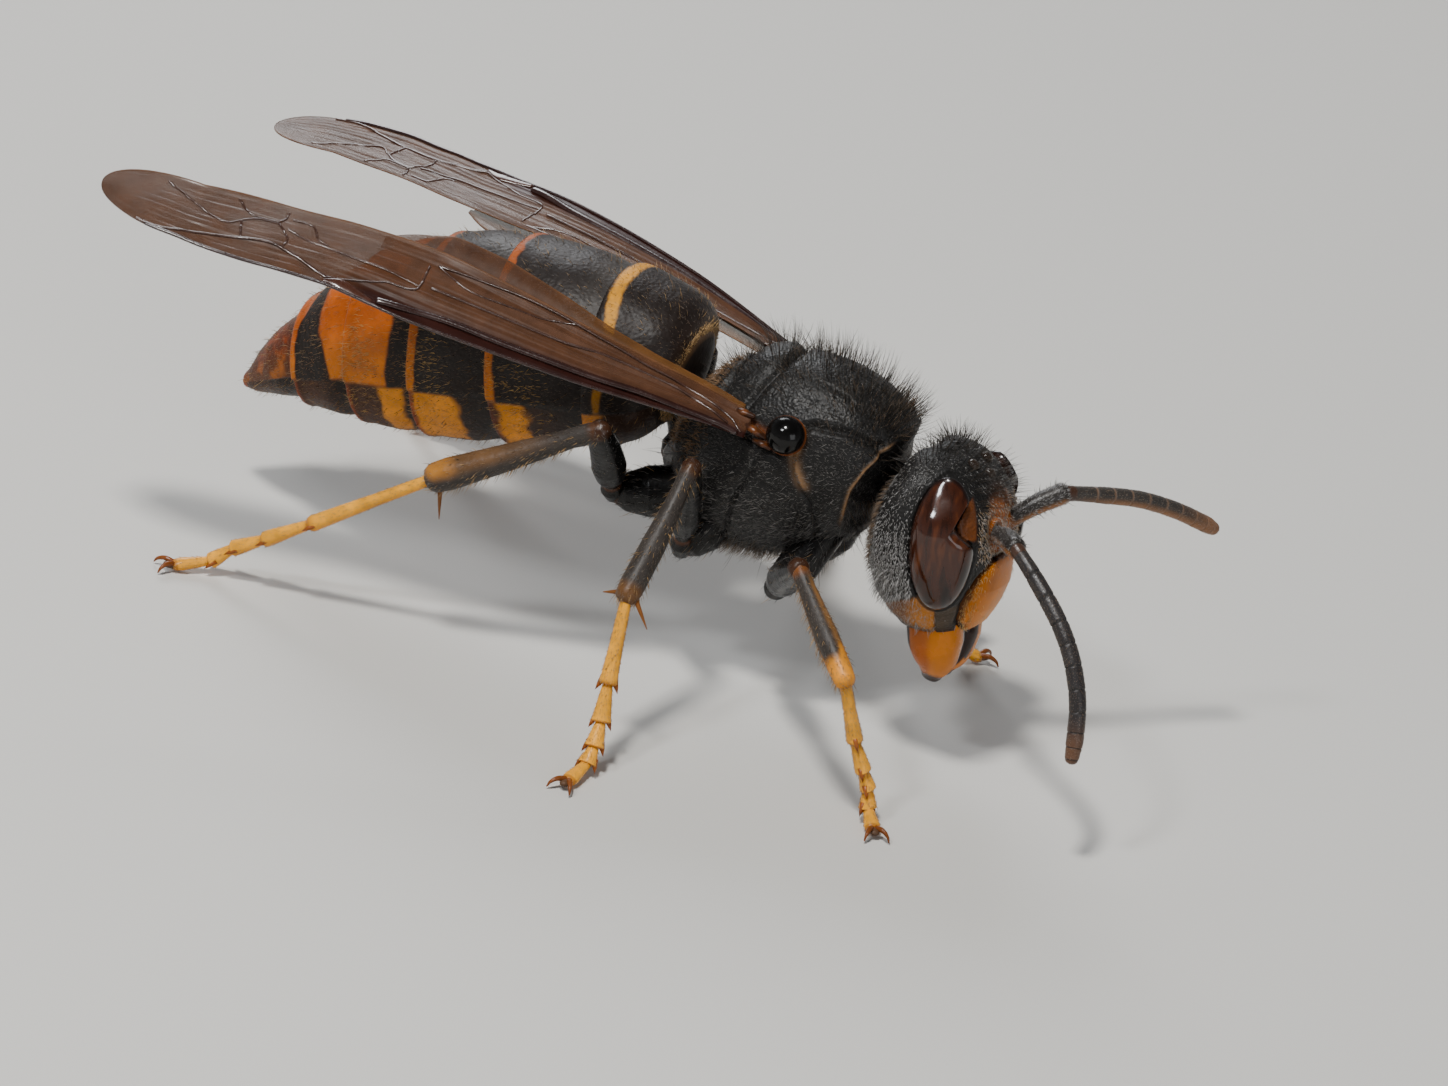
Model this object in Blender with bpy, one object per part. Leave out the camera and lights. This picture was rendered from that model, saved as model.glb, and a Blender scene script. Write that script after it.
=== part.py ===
"""A worker of the asian hornet as a still, life-size model that stands on its six feet.

X runs forward to the head, Y to the insect's left and Z up. Sizes are in millimetres while a
piece is modelled. Each finished mesh is scaled to metres and set over the middle of the model.
"""
import math

import bmesh
import bpy
from mathutils import Matrix, Vector

MM = 0.001
GAP = 0.3
FLOOR = 0.0

# Thorax: place along X, top, bottom, half width, the middle of the width above the bottom
THORAX_ROWS = (
    (3.55, 8.85, 7.30, 1.05),
    (3.25, 9.35, 6.50, 1.65),
    (2.80, 9.70, 5.75, 2.08),
    (2.10, 10.05, 5.05, 2.38),
    (1.20, 10.25, 4.50, 2.48),
    (0.30, 10.28, 4.20, 2.50),
    (-0.60, 10.15, 4.00, 2.45),
    (-1.50, 9.75, 4.00, 2.35),
    (-2.20, 9.15, 4.50, 2.15),
    (-2.75, 8.35, 5.30, 1.75),
    (-3.10, 7.60, 6.10, 1.00),
)
THORAX_POWER = 2.2
# Shares by which the thorax narrows below and above its middle
THORAX_TAPER = (0.16, 0.06)
THORAX_SIDES = 26
THORAX_REACH = 12.0
# Seams of the thorax, seen from the side, from above the back to below the belly
PRONOTUM_SEAM = ((3.20, 12.0), (3.02, 9.30), (1.45, 8.55), (1.15, 7.70), (1.95, 6.10), (1.70, 2.0))
PROPODEUM_SEAM = ((-1.35, 12.0), (-1.70, 9.20), (-2.35, 7.40), (-2.30, 2.0))
# Grooves across the back: place along X, depth, half width
BACK_GROOVES = ((-0.72, 0.20, 0.16), (-1.28, 0.14, 0.14))

# Gaster: top point and bottom point of each rear edge in the middle plane, and half width
GASTER_ROWS = (
    ((-3.15, 9.70), (-3.50, 7.25), 1.30),
    ((-3.35, 10.30), (-3.80, 6.60), 2.00),
    ((-4.10, 10.72), (-4.45, 5.90), 2.45),
    ((-5.90, 10.90), (-5.85, 5.20), 2.72),
    ((-9.10, 10.72), (-8.80, 4.35), 2.80),
    ((-11.45, 9.95), (-11.20, 3.80), 2.60),
    ((-13.60, 8.60), (-13.25, 3.55), 2.18),
    ((-15.35, 6.60), (-15.05, 3.40), 1.52),
    ((-16.40, 4.95), (-16.15, 3.25), 0.80),
    ((-16.90, 3.80), (-16.85, 3.20), 0.28),
)
GASTER_POWER = 2.1
GASTER_SIDES = 28
GASTER_EDGES = (0.0, 3.0, 4.0, 5.0, 6.0, 7.0, 9.0)
GASTER_STEP = 0.06

# Head: level, back, front, half width of each horizontal section
HEAD_ROWS = (
    (9.00, 4.25, 5.00, 0.90),
    (8.77, 3.75, 5.65, 1.65),
    (8.25, 3.40, 6.25, 2.22),
    (7.60, 3.10, 6.70, 2.58),
    (6.90, 2.97, 6.92, 2.72),
    (6.20, 3.00, 7.02, 2.70),
    (5.50, 3.20, 7.05, 2.52),
    (4.85, 3.55, 6.95, 2.20),
    (4.30, 4.00, 6.80, 1.80),
    (3.90, 4.50, 6.55, 1.40),
)
HEAD_POWER = 2.5
HEAD_SIDES = 28
OCCIPUT_DEPTH = 1.15
OCCIPUT_LEVEL = 6.9
HEAD_ROLL = -8.0
HEAD_PIVOT = (0.0, 0.0, 7.10)
OCCIPUT_REACH = 2.1

EYE_CENTRE = (5.80, 2.24, 6.76)
EYE_HALF_HEIGHT = 1.90
EYE_HALF_LENGTH = 0.92
EYE_BULGE = 0.55
EYE_DEPTH = 0.55
EYE_LEAN = -9.0
EYE_TOE_IN = 14.0
# Notch of the eye: depth, turn around the outline and half width there
EYE_NOTCH = (0.42, 0.42, 0.30)
# Dome of the eye: rise as a share of the bulge, and width as a share of the outline
EYE_DOME = ((0.35, 0.965), (0.65, 0.86), (0.88, 0.64), (0.985, 0.32))

CLYPEUS_TOP = 6.40
CLYPEUS_LOW = 4.05
CLYPEUS_HALF_WIDTH = 1.25
CLYPEUS_BACK = 6.35
CLYPEUS_RAISE = 0.12
# Right half of the face shield's outline, from its top to its foot, as shares of its half sizes
CLYPEUS_SHAPE = (
    (0.0, 1.0),
    (0.62, 0.98),
    (0.95, 0.62),
    (1.0, 0.25),
    (0.80, -0.20),
    (0.62, -0.70),
    (0.30, -1.0),
    (0.0, -0.94),
)
CLYPEUS_FRONT = 9.0

MANDIBLE_PATH = ((5.70, 0.78, 4.35), (5.92, 0.75, 3.50), (6.02, 0.60, 2.85), (5.98, 0.40, 2.32))
MANDIBLE_WIDTHS = (0.60, 0.60, 0.48, 0.28)
MANDIBLE_DEPTHS = (0.76, 0.74, 0.58, 0.32)

NECK_PATH = ((2.90, 0.0, 7.20), (5.20, 0.0, 7.10))
NECK_RADIUS = 0.75

SCAPE_RADII = (0.24, 0.26, 0.30, 0.32)
FLAGELLUM_RADIUS = 0.27
FLAGELLUM_JOINTS = 10
FLAGELLUM_WAIST = 0.88
FLAGELLUM_FIRST = 1.5
SCAPE_PATH = {
    "right": ((6.75, -0.60, 7.15), (7.25, -1.20, 7.45), (7.85, -2.05, 7.68)),
    "left": ((6.75, 0.60, 7.20), (7.25, 1.00, 7.70), (7.80, 1.50, 8.08)),
}
FLAGELLUM_PATH = {
    "right": (
        (7.95, -2.15, 7.68),
        (8.75, -2.50, 7.20),
        (9.85, -3.05, 6.45),
        (10.60, -3.50, 5.70),
        (11.15, -3.95, 4.80),
        (11.42, -4.30, 3.90),
        (11.52, -4.50, 3.30),
    ),
    "left": (
        (7.92, 1.62, 8.10),
        (8.70, 2.50, 8.00),
        (9.50, 3.50, 7.80),
        (10.30, 4.50, 7.40),
        (10.95, 5.30, 6.95),
        (11.25, 5.70, 6.70),
    ),
}

# Ocelli: the three simple eyes on the crown, as places on the unrolled head
OCELLI = ((5.96, 0.0, 8.47), (5.58, -0.55, 8.72), (5.58, 0.55, 8.72))
OCELLUS_RADIUS = 0.20

TEGULA_CENTRE = (0.65, 2.40, 8.72)
TEGULA_RADII = (0.52, 0.46, 0.46)

# Wings: station from the root, inner edge and outer edge across the folded wing
FOREWING_LENGTH = 19.6
WING_ROWS = (
    (0.00, -0.50, 0.35),
    (1.10, -0.64, 0.45),
    (3.20, -0.76, 0.75),
    (4.80, -0.90, 0.98),
    (6.20, -1.10, 1.10),
    (8.10, -1.35, 1.22),
    (10.00, -1.56, 1.27),
    (12.40, -1.48, 1.12),
    (14.00, -1.28, 1.20),
    (15.90, -1.13, 1.33),
    (17.80, -0.82, 1.15),
    (19.00, -0.45, 0.72),
    (19.60, -0.05, 0.20),
)
HINDWING_ROWS = (
    (0.30, 0.25),
    (1.20, 0.30),
    (3.20, 0.40),
    (4.80, 0.55),
    (6.20, 0.75),
    (8.10, 0.95),
    (9.80, 0.90),
    (11.00, 0.55),
    (11.60, 0.25),
)
WING_THICKNESS = 0.5
# Main veins: station from the root and share of the width from the inner edge
RADIUS_VEIN = (
    (-0.6, 0.80),
    (1.4, 0.78),
    (3.0, 0.69),
    (9.0, 0.75),
    (11.0, 0.84),
    (12.6, 0.84),
    (14.3, 0.64),
    (15.3, 0.68),
    (17.2, 0.84),
    (19.6, 0.84),
)
MEDIAN_VEIN = (
    (-0.6, 0.48),
    (2.0, 0.37),
    (4.5, 0.28),
    (7.7, 0.46),
    (12.5, 0.48),
    (14.3, 0.38),
    (16.0, 0.50),
    (17.8, 0.16),
    (19.6, 0.16),
)
# Cross veins: station, and whether each joins the two main veins or runs to the inner edge
CROSS_VEINS = ((10.2, False), (13.4, False), (14.2, True), (15.4, True))
VEIN_SHARE = 0.075
VEIN_HALF = 0.16
VEIN_RISE = 0.17
VEIN_SINK = 0.07
STIGMA = (11.8, 12.7)
WINGS = {
    "right": {"root": (-0.45, -2.55, 8.60), "tip": (-19.20, -6.80, 11.15), "tilt": (32.0, 20.0), "arch": 0.35},
    "left": {"root": (-0.45, 2.55, 8.65), "tip": (-19.40, 5.50, 9.05), "tilt": (12.0, -10.0), "arch": 1.00},
}
WING_STEP = 1.2

# Legs of the right side: coxa top, trochanter, knee, ankle, tarsal joints, toe
LEGS = {
    "front_right": {
        "path": ((2.10, -0.95, 5.70), (1.00, -1.60, 3.65), (2.60, -4.65, 6.05), (5.20, -6.50, 4.20)),
        "tarsus": ((5.75, -6.10, 2.30), (6.15, -6.00, 1.45), (6.38, -5.95, 0.95), (6.50, -6.00, 0.42)),
        "toe": (6.95, -6.60, 0.20),
    },
    "middle_right": {
        "path": ((-1.20, -0.90, 5.20), (-2.00, -1.60, 3.85), (-1.35, -4.00, 7.55), (-1.40, -7.00, 4.60)),
        "tarsus": ((-1.05, -8.10, 2.30), (-0.87, -8.55, 1.35), (-0.78, -8.95, 0.75), (-0.78, -9.25, 0.34)),
        "toe": (-0.85, -10.25, 0.20),
    },
    "hind_right": {
        "path": ((-2.30, -0.95, 5.40), (-4.25, -1.90, 4.95), (-4.26, -4.00, 7.68), (-8.40, -5.20, 5.10)),
        "tarsus": ((-11.80, -5.60, 2.50), (-13.10, -5.65, 1.55), (-14.00, -5.70, 0.95), (-14.55, -5.85, 0.40)),
        "toe": (-15.35, -6.45, 0.20),
    },
    "front_left": {
        "path": ((2.10, 0.95, 5.70), (1.00, 1.60, 3.65), (2.30, 4.35, 5.90), (4.10, 5.70, 4.00)),
        "tarsus": ((4.40, 5.60, 2.10), (4.60, 5.50, 1.30), (4.70, 5.45, 0.85), (4.78, 5.45, 0.40)),
        "toe": (5.15, 5.75, 0.20),
    },
    "middle_left": {
        "path": ((-1.20, 0.90, 5.20), (-2.00, 1.60, 3.85), (-1.55, 4.10, 7.40), (-1.80, 7.00, 4.60)),
        "tarsus": ((-1.60, 8.20, 2.30), (-1.50, 8.70, 1.35), (-1.45, 9.05, 0.75), (-1.45, 9.35, 0.34)),
        "toe": (-1.60, 10.30, 0.20),
    },
    "hind_left": {
        "path": ((-2.30, 0.95, 5.40), (-4.15, 1.90, 4.95), (-4.40, 4.00, 7.40), (-8.60, 5.60, 5.00)),
        "tarsus": ((-11.70, 6.60, 2.40), (-12.90, 6.95, 1.50), (-13.70, 7.15, 0.95), (-14.25, 7.35, 0.40)),
        "toe": (-15.00, 7.90, 0.20),
    },
}
COXA_RADII = {"front": (0.62, 0.48), "middle": (0.70, 0.52), "hind": (0.75, 0.55)}
FEMUR_RADII = {"front": (0.34, 0.50, 0.36), "middle": (0.34, 0.46, 0.34), "hind": (0.36, 0.52, 0.38)}
TIBIA_RADII = {"front": (0.29, 0.36, 0.33), "middle": (0.29, 0.36, 0.36), "hind": (0.30, 0.38, 0.45)}
TARSUS_RADII = (0.25, 0.33)
# Spurs at the end of each tibia: length and turn from the foot's own line, about the upright axis
SPURS = {
    "front": ((0.55, 150.0),),
    "middle": ((0.95, 28.0), (0.55, -40.0)),
    "hind": ((1.15, 30.0), (0.60, -45.0)),
}
SPUR_RADIUS = 0.16
CLAW_LENGTH = 0.62
CLAW_SPREAD = 32.0
# Hook of a claw: share of its length, rise above its root and half width
CLAW_HOOK = ((0.0, 0.0, 0.14), (0.5, 0.10, 0.12), (0.85, 0.02, 0.09), (1.0, -0.12, 0.05))
LIMB_SIDES = 10
# Rounded end of a tube: reach past the end and width there, as shares of the half width
TUBE_END = ((0.30, 0.85), (0.55, 0.50))
# Points closer than this are one point
WELD = 0.0005

CUTICLE_BLACK = (0.018, 0.016, 0.015)
EYE_BROWN = (0.10, 0.022, 0.010)
ORANGE = (0.75, 0.26, 0.03)
BAND_BROWN = (0.045, 0.022, 0.014)
WING_BROWN = (0.16, 0.075, 0.05)
LEG_GREY = (0.06, 0.045, 0.038)
TARSUS_YELLOW = (0.80, 0.48, 0.10)


def spline(points, count):
    """Points spread along a smooth curve that passes through the given ones."""
    return [spline_share(points, index / (count - 1)) for index in range(count)]


def spline_share(points, share):
    """The point at a share of the way along a smooth curve, counted in spans."""
    places = [Vector(point) for point in points]
    place = (len(places) - 1) * share
    span = min(int(place), len(places) - 2)
    return spline_point(places, span, place - span)


def spline_point(places, span, part):
    """A point on one span of a smooth curve, from the span's ends and their neighbours."""
    first = places[span]
    last = places[span + 1]
    before = places[span - 1] if span > 0 else first * 2 - last
    after = places[span + 2] if span + 2 < len(places) else last * 2 - first
    pull_in = (last - before) / 2
    pull_out = (after - first) / 2
    square = part * part
    cube = square * part
    return (
        first * (2 * cube - 3 * square + 1)
        + pull_in * (cube - 2 * square + part)
        + last * (3 * square - 2 * cube)
        + pull_out * (cube - square)
    )


def row_at(rows, place):
    """A smooth row between rows of plain numbers, where place counts rows."""
    places = [Vector(row) for row in rows]
    span = max(0, min(int(place), len(places) - 2))
    return spline_point(places, span, place - span)


def row_at_station(rows, station):
    """A row of numbers at a station, given as each row's first number, which rises or falls."""
    turn = 1 if rows[-1][0] > rows[0][0] else -1
    for index in range(len(rows) - 1):
        if station * turn <= rows[index + 1][0] * turn:
            break
    part = (station - rows[index][0]) / (rows[index + 1][0] - rows[index][0])
    first = Vector(rows[index])
    return first.lerp(Vector(rows[index + 1]), max(0.0, min(1.0, part)))


def rounded(angle, power):
    """Cosine and sine of an angle on a circle that is swollen towards a square."""
    cosine = math.cos(angle)
    sine = math.sin(angle)
    return (
        math.copysign(abs(cosine) ** (2 / power), cosine),
        math.copysign(abs(sine) ** (2 / power), sine),
    )


def mesh_object(name, vertices, faces):
    """An object in the scene with the given mesh, its faces turned outward."""
    mesh = bpy.data.meshes.new(name)
    mesh.from_pydata([tuple(vertex) for vertex in vertices], [], faces)
    form = bmesh.new()
    form.from_mesh(mesh)
    bmesh.ops.recalc_face_normals(form, faces=form.faces)
    form.to_mesh(mesh)
    form.free()
    piece = bpy.data.objects.new(name, mesh)
    bpy.context.scene.collection.objects.link(piece)
    return piece


def skin_rings(name, rings):
    """A closed mesh through a row of rings that have the same number of points."""
    sides = len(rings[0])
    vertices = [point for ring in rings for point in ring]
    faces = []
    for ring in range(len(rings) - 1):
        for side in range(sides):
            after = (side + 1) % sides
            low = ring * sides
            high = low + sides
            faces.append((low + side, low + after, high + after, high + side))
    faces.append(tuple(range(sides)))
    faces.append(tuple(range(len(vertices) - sides, len(vertices))))
    return mesh_object(name, vertices, faces)


def combine(piece, others, operation):
    """Join or cut a piece with others, apply it, and keep its largest closed surface."""
    group = bpy.data.collections.new("work")
    bpy.context.scene.collection.children.link(group)
    for other in others:
        bpy.context.scene.collection.objects.unlink(other)
        group.objects.link(other)
    change = piece.modifiers.new("join", "BOOLEAN")
    change.operation = operation
    change.operand_type = "COLLECTION"
    change.collection = group
    change.solver = "EXACT"
    depsgraph = bpy.context.evaluated_depsgraph_get()
    depsgraph.update()
    made = bpy.data.meshes.new_from_object(piece.evaluated_get(depsgraph))
    piece.modifiers.clear()
    piece.data = made
    for other in others:
        bpy.data.objects.remove(other)
    bpy.data.collections.remove(group)
    keep_largest(piece)
    return piece


def keep_largest(piece):
    """Delete every closed surface of a piece but the one with the most volume."""
    form = bmesh.new()
    form.from_mesh(piece.data)
    bmesh.ops.remove_doubles(form, verts=form.verts, dist=WELD)
    bmesh.ops.dissolve_degenerate(form, edges=form.edges, dist=WELD)
    islands = []
    seen = set()
    for start in form.faces:
        if start in seen:
            continue
        island = [start]
        seen.add(start)
        for face in island:
            for edge in face.edges:
                for other in edge.link_faces:
                    if other not in seen:
                        seen.add(other)
                        island.append(other)
        islands.append(island)
    islands.sort(key=lambda island: sum(face.calc_area() for face in island))
    for island in islands[:-1]:
        bmesh.ops.delete(form, geom=island, context="FACES")
    loose = [vertex for vertex in form.verts if not vertex.link_faces]
    bmesh.ops.delete(form, geom=loose, context="VERTS")
    form.to_mesh(piece.data)
    form.free()


def clear_of(piece, cutters):
    """Cut a piece clear of the given grown shapes."""
    return combine(piece, cutters, "DIFFERENCE")


def block(name, low, high):
    """A box between two corners."""
    corners = [
        (x, y, z)
        for x in (low[0], high[0])
        for y in (low[1], high[1])
        for z in (low[2], high[2])
    ]
    faces = ((0, 1, 3, 2), (4, 6, 7, 5), (0, 4, 5, 1), (2, 3, 7, 6), (0, 2, 6, 4), (1, 5, 7, 3))
    return mesh_object(name, corners, faces)


def ball(name, centre, radii, sides=12, levels=7):
    """A closed ellipsoid of rings stacked upward."""
    rings = []
    for level in range(1, levels):
        tilt = math.pi * level / levels - math.pi / 2
        ring = []
        for side in range(sides):
            turn = 2 * math.pi * side / sides
            ring.append(
                Vector(
                    (
                        centre[0] + radii[0] * math.cos(turn) * math.cos(tilt),
                        centre[1] + radii[1] * math.sin(turn) * math.cos(tilt),
                        centre[2] + radii[2] * math.sin(tilt),
                    )
                )
            )
        rings.append(ring)
    return skin_rings(name, rings)


def tube(name, points, widths, heights=None, sides=LIMB_SIDES, grow=0.0, ends=(True, True), lie=(0, 0, 1)):
    """A tube along points, with half widths across the direction it lies to, and rounded ends."""
    places = [Vector(point) for point in points]
    heights = heights or widths
    rings = []
    count = len(places)
    for index in range(count):
        before = places[max(index - 1, 0)]
        after = places[min(index + 1, count - 1)]
        along = (after - before).normalized()
        side = along.cross(Vector(lie)).normalized()
        up = side.cross(along)
        wide = widths[index] + grow
        high = heights[index] + grow
        if index == 0 and ends[0]:
            for reach, share in reversed(TUBE_END):
                place = places[index] - along * reach * wide
                rings.append(tube_ring(place, side, up, wide * share, high * share, sides))
        rings.append(tube_ring(places[index], side, up, wide, high, sides))
        if index == count - 1 and ends[1]:
            for reach, share in TUBE_END:
                place = places[index] + along * reach * wide
                rings.append(tube_ring(place, side, up, wide * share, high * share, sides))
    return skin_rings(name, rings)


def tube_ring(centre, side, up, wide, high, sides):
    """The points of one elliptical section of a tube."""
    ring = []
    for index in range(sides):
        turn = 2 * math.pi * index / sides
        ring.append(centre + side * wide * math.cos(turn) + up * high * math.sin(turn))
    return ring


def thorax_ring(row, grow):
    """One upright section of the thorax, a swollen oval a little wider above its middle."""
    place, top, bottom, half_width = row
    dip = sum(
        depth * math.exp(-(((place - groove) / half) ** 2)) for groove, depth, half in BACK_GROOVES
    )
    middle = (top + bottom) / 2
    high = (top - bottom) / 2 + grow
    ring = []
    for side in range(THORAX_SIDES):
        cosine, sine = rounded(2 * math.pi * side / THORAX_SIDES, THORAX_POWER)
        narrow = 1 - THORAX_TAPER[0] * max(0.0, -sine) - THORAX_TAPER[1] * max(0.0, sine)
        lift = middle + high * sine - dip * max(0.0, sine)
        ring.append(Vector((place, (half_width + grow) * cosine * narrow, lift)))
    return ring


def whole_thorax(name, grow=0.0, count=17):
    """The thorax in one length, before it is parted into its three rings."""
    rows = [row_at(THORAX_ROWS, (len(THORAX_ROWS) - 1) * index / (count - 1)) for index in range(count)]
    for groove, _, half in BACK_GROOVES:
        for place in (groove - half, groove, groove + half):
            rows.append(row_at_station(THORAX_ROWS, place))
    rows.sort(key=lambda row: -row[0])
    rings = [thorax_ring(row, grow) for row in rows]
    if grow:
        rings[0] = [point + Vector((grow, 0, 0)) for point in rings[0]]
        rings[-1] = [point - Vector((grow, 0, 0)) for point in rings[-1]]
    return skin_rings(name, rings)


def stepped(line, step):
    """A line of (x, z) points moved sideways, forward where the step is positive."""
    moved = []
    for index in range(len(line)):
        before = Vector(line[max(index - 1, 0)])
        after = Vector(line[min(index + 1, len(line) - 1)])
        along = (after - before).normalized()
        moved.append(Vector(line[index]) + Vector((-along.y, along.x)) * step)
    return moved


def region(name, line, step, ahead):
    """Everything on one side of a seam, as a block with the seam's outline, level across."""
    edge = stepped(line, step)
    far = THORAX_REACH if ahead else -THORAX_REACH
    outline = edge + [Vector((far, edge[-1].y)), Vector((far, edge[0].y))]
    sides = [[Vector((point.x, y, point.y)) for point in outline] for y in (-THORAX_REACH, THORAX_REACH)]
    return skin_rings(name, sides)


def make_thorax():
    """Pronotum, mesothorax and propodeum, parted along their seams."""
    front = whole_thorax("pronotum")
    middle = whole_thorax("mesothorax")
    rear = whole_thorax("propodeum")
    half = GAP / 2
    clear_of(front, [region("behind", PRONOTUM_SEAM, half, False)])
    clear_of(
        middle,
        [
            region("ahead", PRONOTUM_SEAM, -half, True),
            region("behind", PROPODEUM_SEAM, half, False),
        ],
    )
    clear_of(rear, [region("ahead", PROPODEUM_SEAM, -half, True)])


def gaster_ring(place, grow=0.0, scale=1.0):
    """One section of the gaster at a place that counts the rows of its edges."""
    rows = [(top[0], top[1], low[0], low[1], half) for top, low, half in GASTER_ROWS]
    top_x, top_z, low_x, low_z, half_width = row_at(rows, place)
    top = Vector((top_x, 0, top_z))
    low = Vector((low_x, 0, low_z))
    centre = (top + low) / 2
    up = (top - low).normalized()
    high = (top - low).length / 2 * scale + grow
    wide = half_width * scale + grow
    ring = []
    for side in range(GASTER_SIDES):
        cosine, sine = rounded(2 * math.pi * side / GASTER_SIDES, GASTER_POWER)
        ring.append(centre + Vector((0, 1, 0)) * wide * cosine + up * high * sine)
    return ring


def gaster_axis(place):
    """The middle of a section of the gaster."""
    ring = gaster_ring(place)
    return sum(ring, Vector()) / len(ring)


def gap_in_rows(place):
    """Half the gap between two rings, counted in rows at a place."""
    step = 0.02
    span = (gaster_axis(place + step) - gaster_axis(place - step)).length
    return GAP / 2 * 2 * step / span


def make_gaster():
    """Six rings of the abdomen, each a little wider at its rear edge than the next one's front."""
    for index in range(len(GASTER_EDGES) - 1):
        start = GASTER_EDGES[index]
        end = GASTER_EDGES[index + 1]
        first = start + (gap_in_rows(start) if index else 0)
        last = end - (gap_in_rows(end) if end < GASTER_EDGES[-1] else 0)
        steps = 6 if index in (0, 5) else 4
        rings = []
        for step in range(steps + 1):
            share = step / steps
            scale = 1 - GASTER_STEP * (1 - share) ** 2 * (1 if index else 0)
            rings.append(gaster_ring(first + (last - first) * share, scale=scale))
        skin_rings(f"abdomen_{index + 1}", rings)


def head_ring(row, grow):
    """One level section of the head, flat in front and hollow behind."""
    level, back, front, half_width = row
    middle = (back + front) / 2
    deep = (front - back) / 2 + grow
    near = math.exp(-(((level - OCCIPUT_LEVEL) / OCCIPUT_REACH) ** 2))
    ring = []
    for side in range(HEAD_SIDES):
        cosine, sine = rounded(2 * math.pi * side / HEAD_SIDES, HEAD_POWER)
        x = middle + deep * cosine
        y = (half_width + grow) * sine
        if cosine < 0:
            x += (OCCIPUT_DEPTH * near - grow * 0.5) * -cosine * max(0.0, 1 - sine * sine) ** 1.5
        ring.append(Vector((x, y, level)))
    return ring


def whole_head(name, grow=0.0, count=15):
    """The head capsule in one piece, before the eyes and the clypeus are let in."""
    rings = []
    for index in range(count):
        row = row_at(HEAD_ROWS, (len(HEAD_ROWS) - 1) * index / (count - 1))
        rings.append(head_ring(row, grow))
    if grow:
        rings[0] = [point + Vector((0, 0, grow)) for point in rings[0]]
        rings[-1] = [point - Vector((0, 0, grow)) for point in rings[-1]]
    return rolled(skin_rings(name, rings))


def rolled(piece):
    """Turn a piece of the head about the neck, with the crown away from the right side."""
    pivot = Vector(HEAD_PIVOT)
    turn = Matrix.Rotation(math.radians(HEAD_ROLL), 4, "X")
    piece.data.transform(Matrix.Translation(pivot) @ turn @ Matrix.Translation(-pivot))
    return piece


def eye_outline(grow, share, points=22):
    """The kidney outline of an eye, round the middle and notched in front."""
    ring = []
    for index in range(points):
        turn = 2 * math.pi * index / points
        cosine = math.cos(turn)
        sine = math.sin(turn)
        notch = EYE_NOTCH[0] * math.exp(-(((turn - EYE_NOTCH[1]) / EYE_NOTCH[2]) ** 2))
        length = (EYE_HALF_LENGTH + grow) * cosine - notch * cosine
        height = (EYE_HALF_HEIGHT + grow) * sine
        ring.append((length * share, height * share))
    return ring


def make_eye(name, mirror, grow=0.0):
    """A kidney-shaped eye: a dome outward over a straight wall into the head."""
    turn = Matrix.Rotation(math.radians(EYE_LEAN), 4, "Y")
    toe = Matrix.Rotation(math.radians(-EYE_TOE_IN), 4, "Z")
    centre = Vector(EYE_CENTRE)
    rings = []
    levels = [(-EYE_DEPTH - grow, 1.0), (0.0, 1.0)]
    stations = levels + [((EYE_BULGE + grow) * rise, share) for rise, share in EYE_DOME]
    for outward, share in stations:
        ring = []
        for length, height in eye_outline(grow, share):
            point = toe @ (turn @ Vector((length, outward, height)))
            point = centre + point
            ring.append(Vector((point.x, point.y * mirror, point.z)))
        rings.append(ring)
    return rolled(skin_rings(name, rings))


def clypeus_prism(name, grow):
    """A shield-shaped prism through the face, wider in its middle, with a pointed foot."""
    middle = (CLYPEUS_TOP + CLYPEUS_LOW) / 2
    half_high = (CLYPEUS_TOP - CLYPEUS_LOW) / 2 + grow
    half_wide = CLYPEUS_HALF_WIDTH + grow
    outline = [(y * half_wide, z * half_high + middle) for y, z in CLYPEUS_SHAPE]
    outline += [(-y, z) for y, z in reversed(outline[1:-1])]
    back = [Vector((CLYPEUS_BACK - grow, y, z)) for y, z in outline]
    front = [Vector((CLYPEUS_FRONT, y, z)) for y, z in outline]
    return rolled(skin_rings(name, [back, front]))


def mandible(name, mirror, grow=0.0):
    """A broad blade that curves down and in to its tip."""
    count = 6
    points = [Vector((x, y * mirror, z)) for x, y, z in spline(MANDIBLE_PATH, count)]
    sizes = list(zip(MANDIBLE_WIDTHS, MANDIBLE_DEPTHS))
    rows = [row_at(sizes, (len(sizes) - 1) * index / (count - 1)) for index in range(count)]
    widths = [row[0] for row in rows]
    depths = [row[1] for row in rows]
    return rolled(tube(name, points, widths, depths, grow=grow, lie=(1, 0, 0)))


def make_head():
    """Head capsule, eyes, clypeus and mandibles, each cut clear of the next."""
    head = whole_head("head")
    clypeus = whole_head("clypeus")
    clypeus.data.transform(Matrix.Translation((CLYPEUS_RAISE, 0, 0)))
    combine(clypeus, [clypeus_prism("shield", 0.0)], "INTERSECT")
    cutters = [clypeus_prism("shield_room", GAP)]
    for side, mirror in (("right", -1), ("left", 1)):
        make_eye("eye_" + side, mirror)
        cutters.append(make_eye("eye_room", mirror, GAP))
    clear_of(head, cutters)
    radii = (OCELLUS_RADIUS,) * 3
    combine(head, [rolled(ball("ocellus", place, radii, sides=8, levels=5)) for place in OCELLI], "UNION")
    for side, mirror in (("right", -1), ("left", 1)):
        jaw = mandible("mandible_" + side, mirror)
        far = 9.0 * mirror
        wall = GAP / 2 * mirror
        low = (0.0, min(wall, -far), 0.0)
        high = (12.0, max(wall, -far), 6.0)
        clear_of(jaw, [whole_head("head_room", GAP), rolled(block("middle_room", low, high))])
    neck = tube("neck", NECK_PATH, (NECK_RADIUS, NECK_RADIUS), ends=(False, False))
    clear_of(neck, [whole_head("head_room", GAP), whole_thorax("thorax_room", GAP)])


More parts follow.
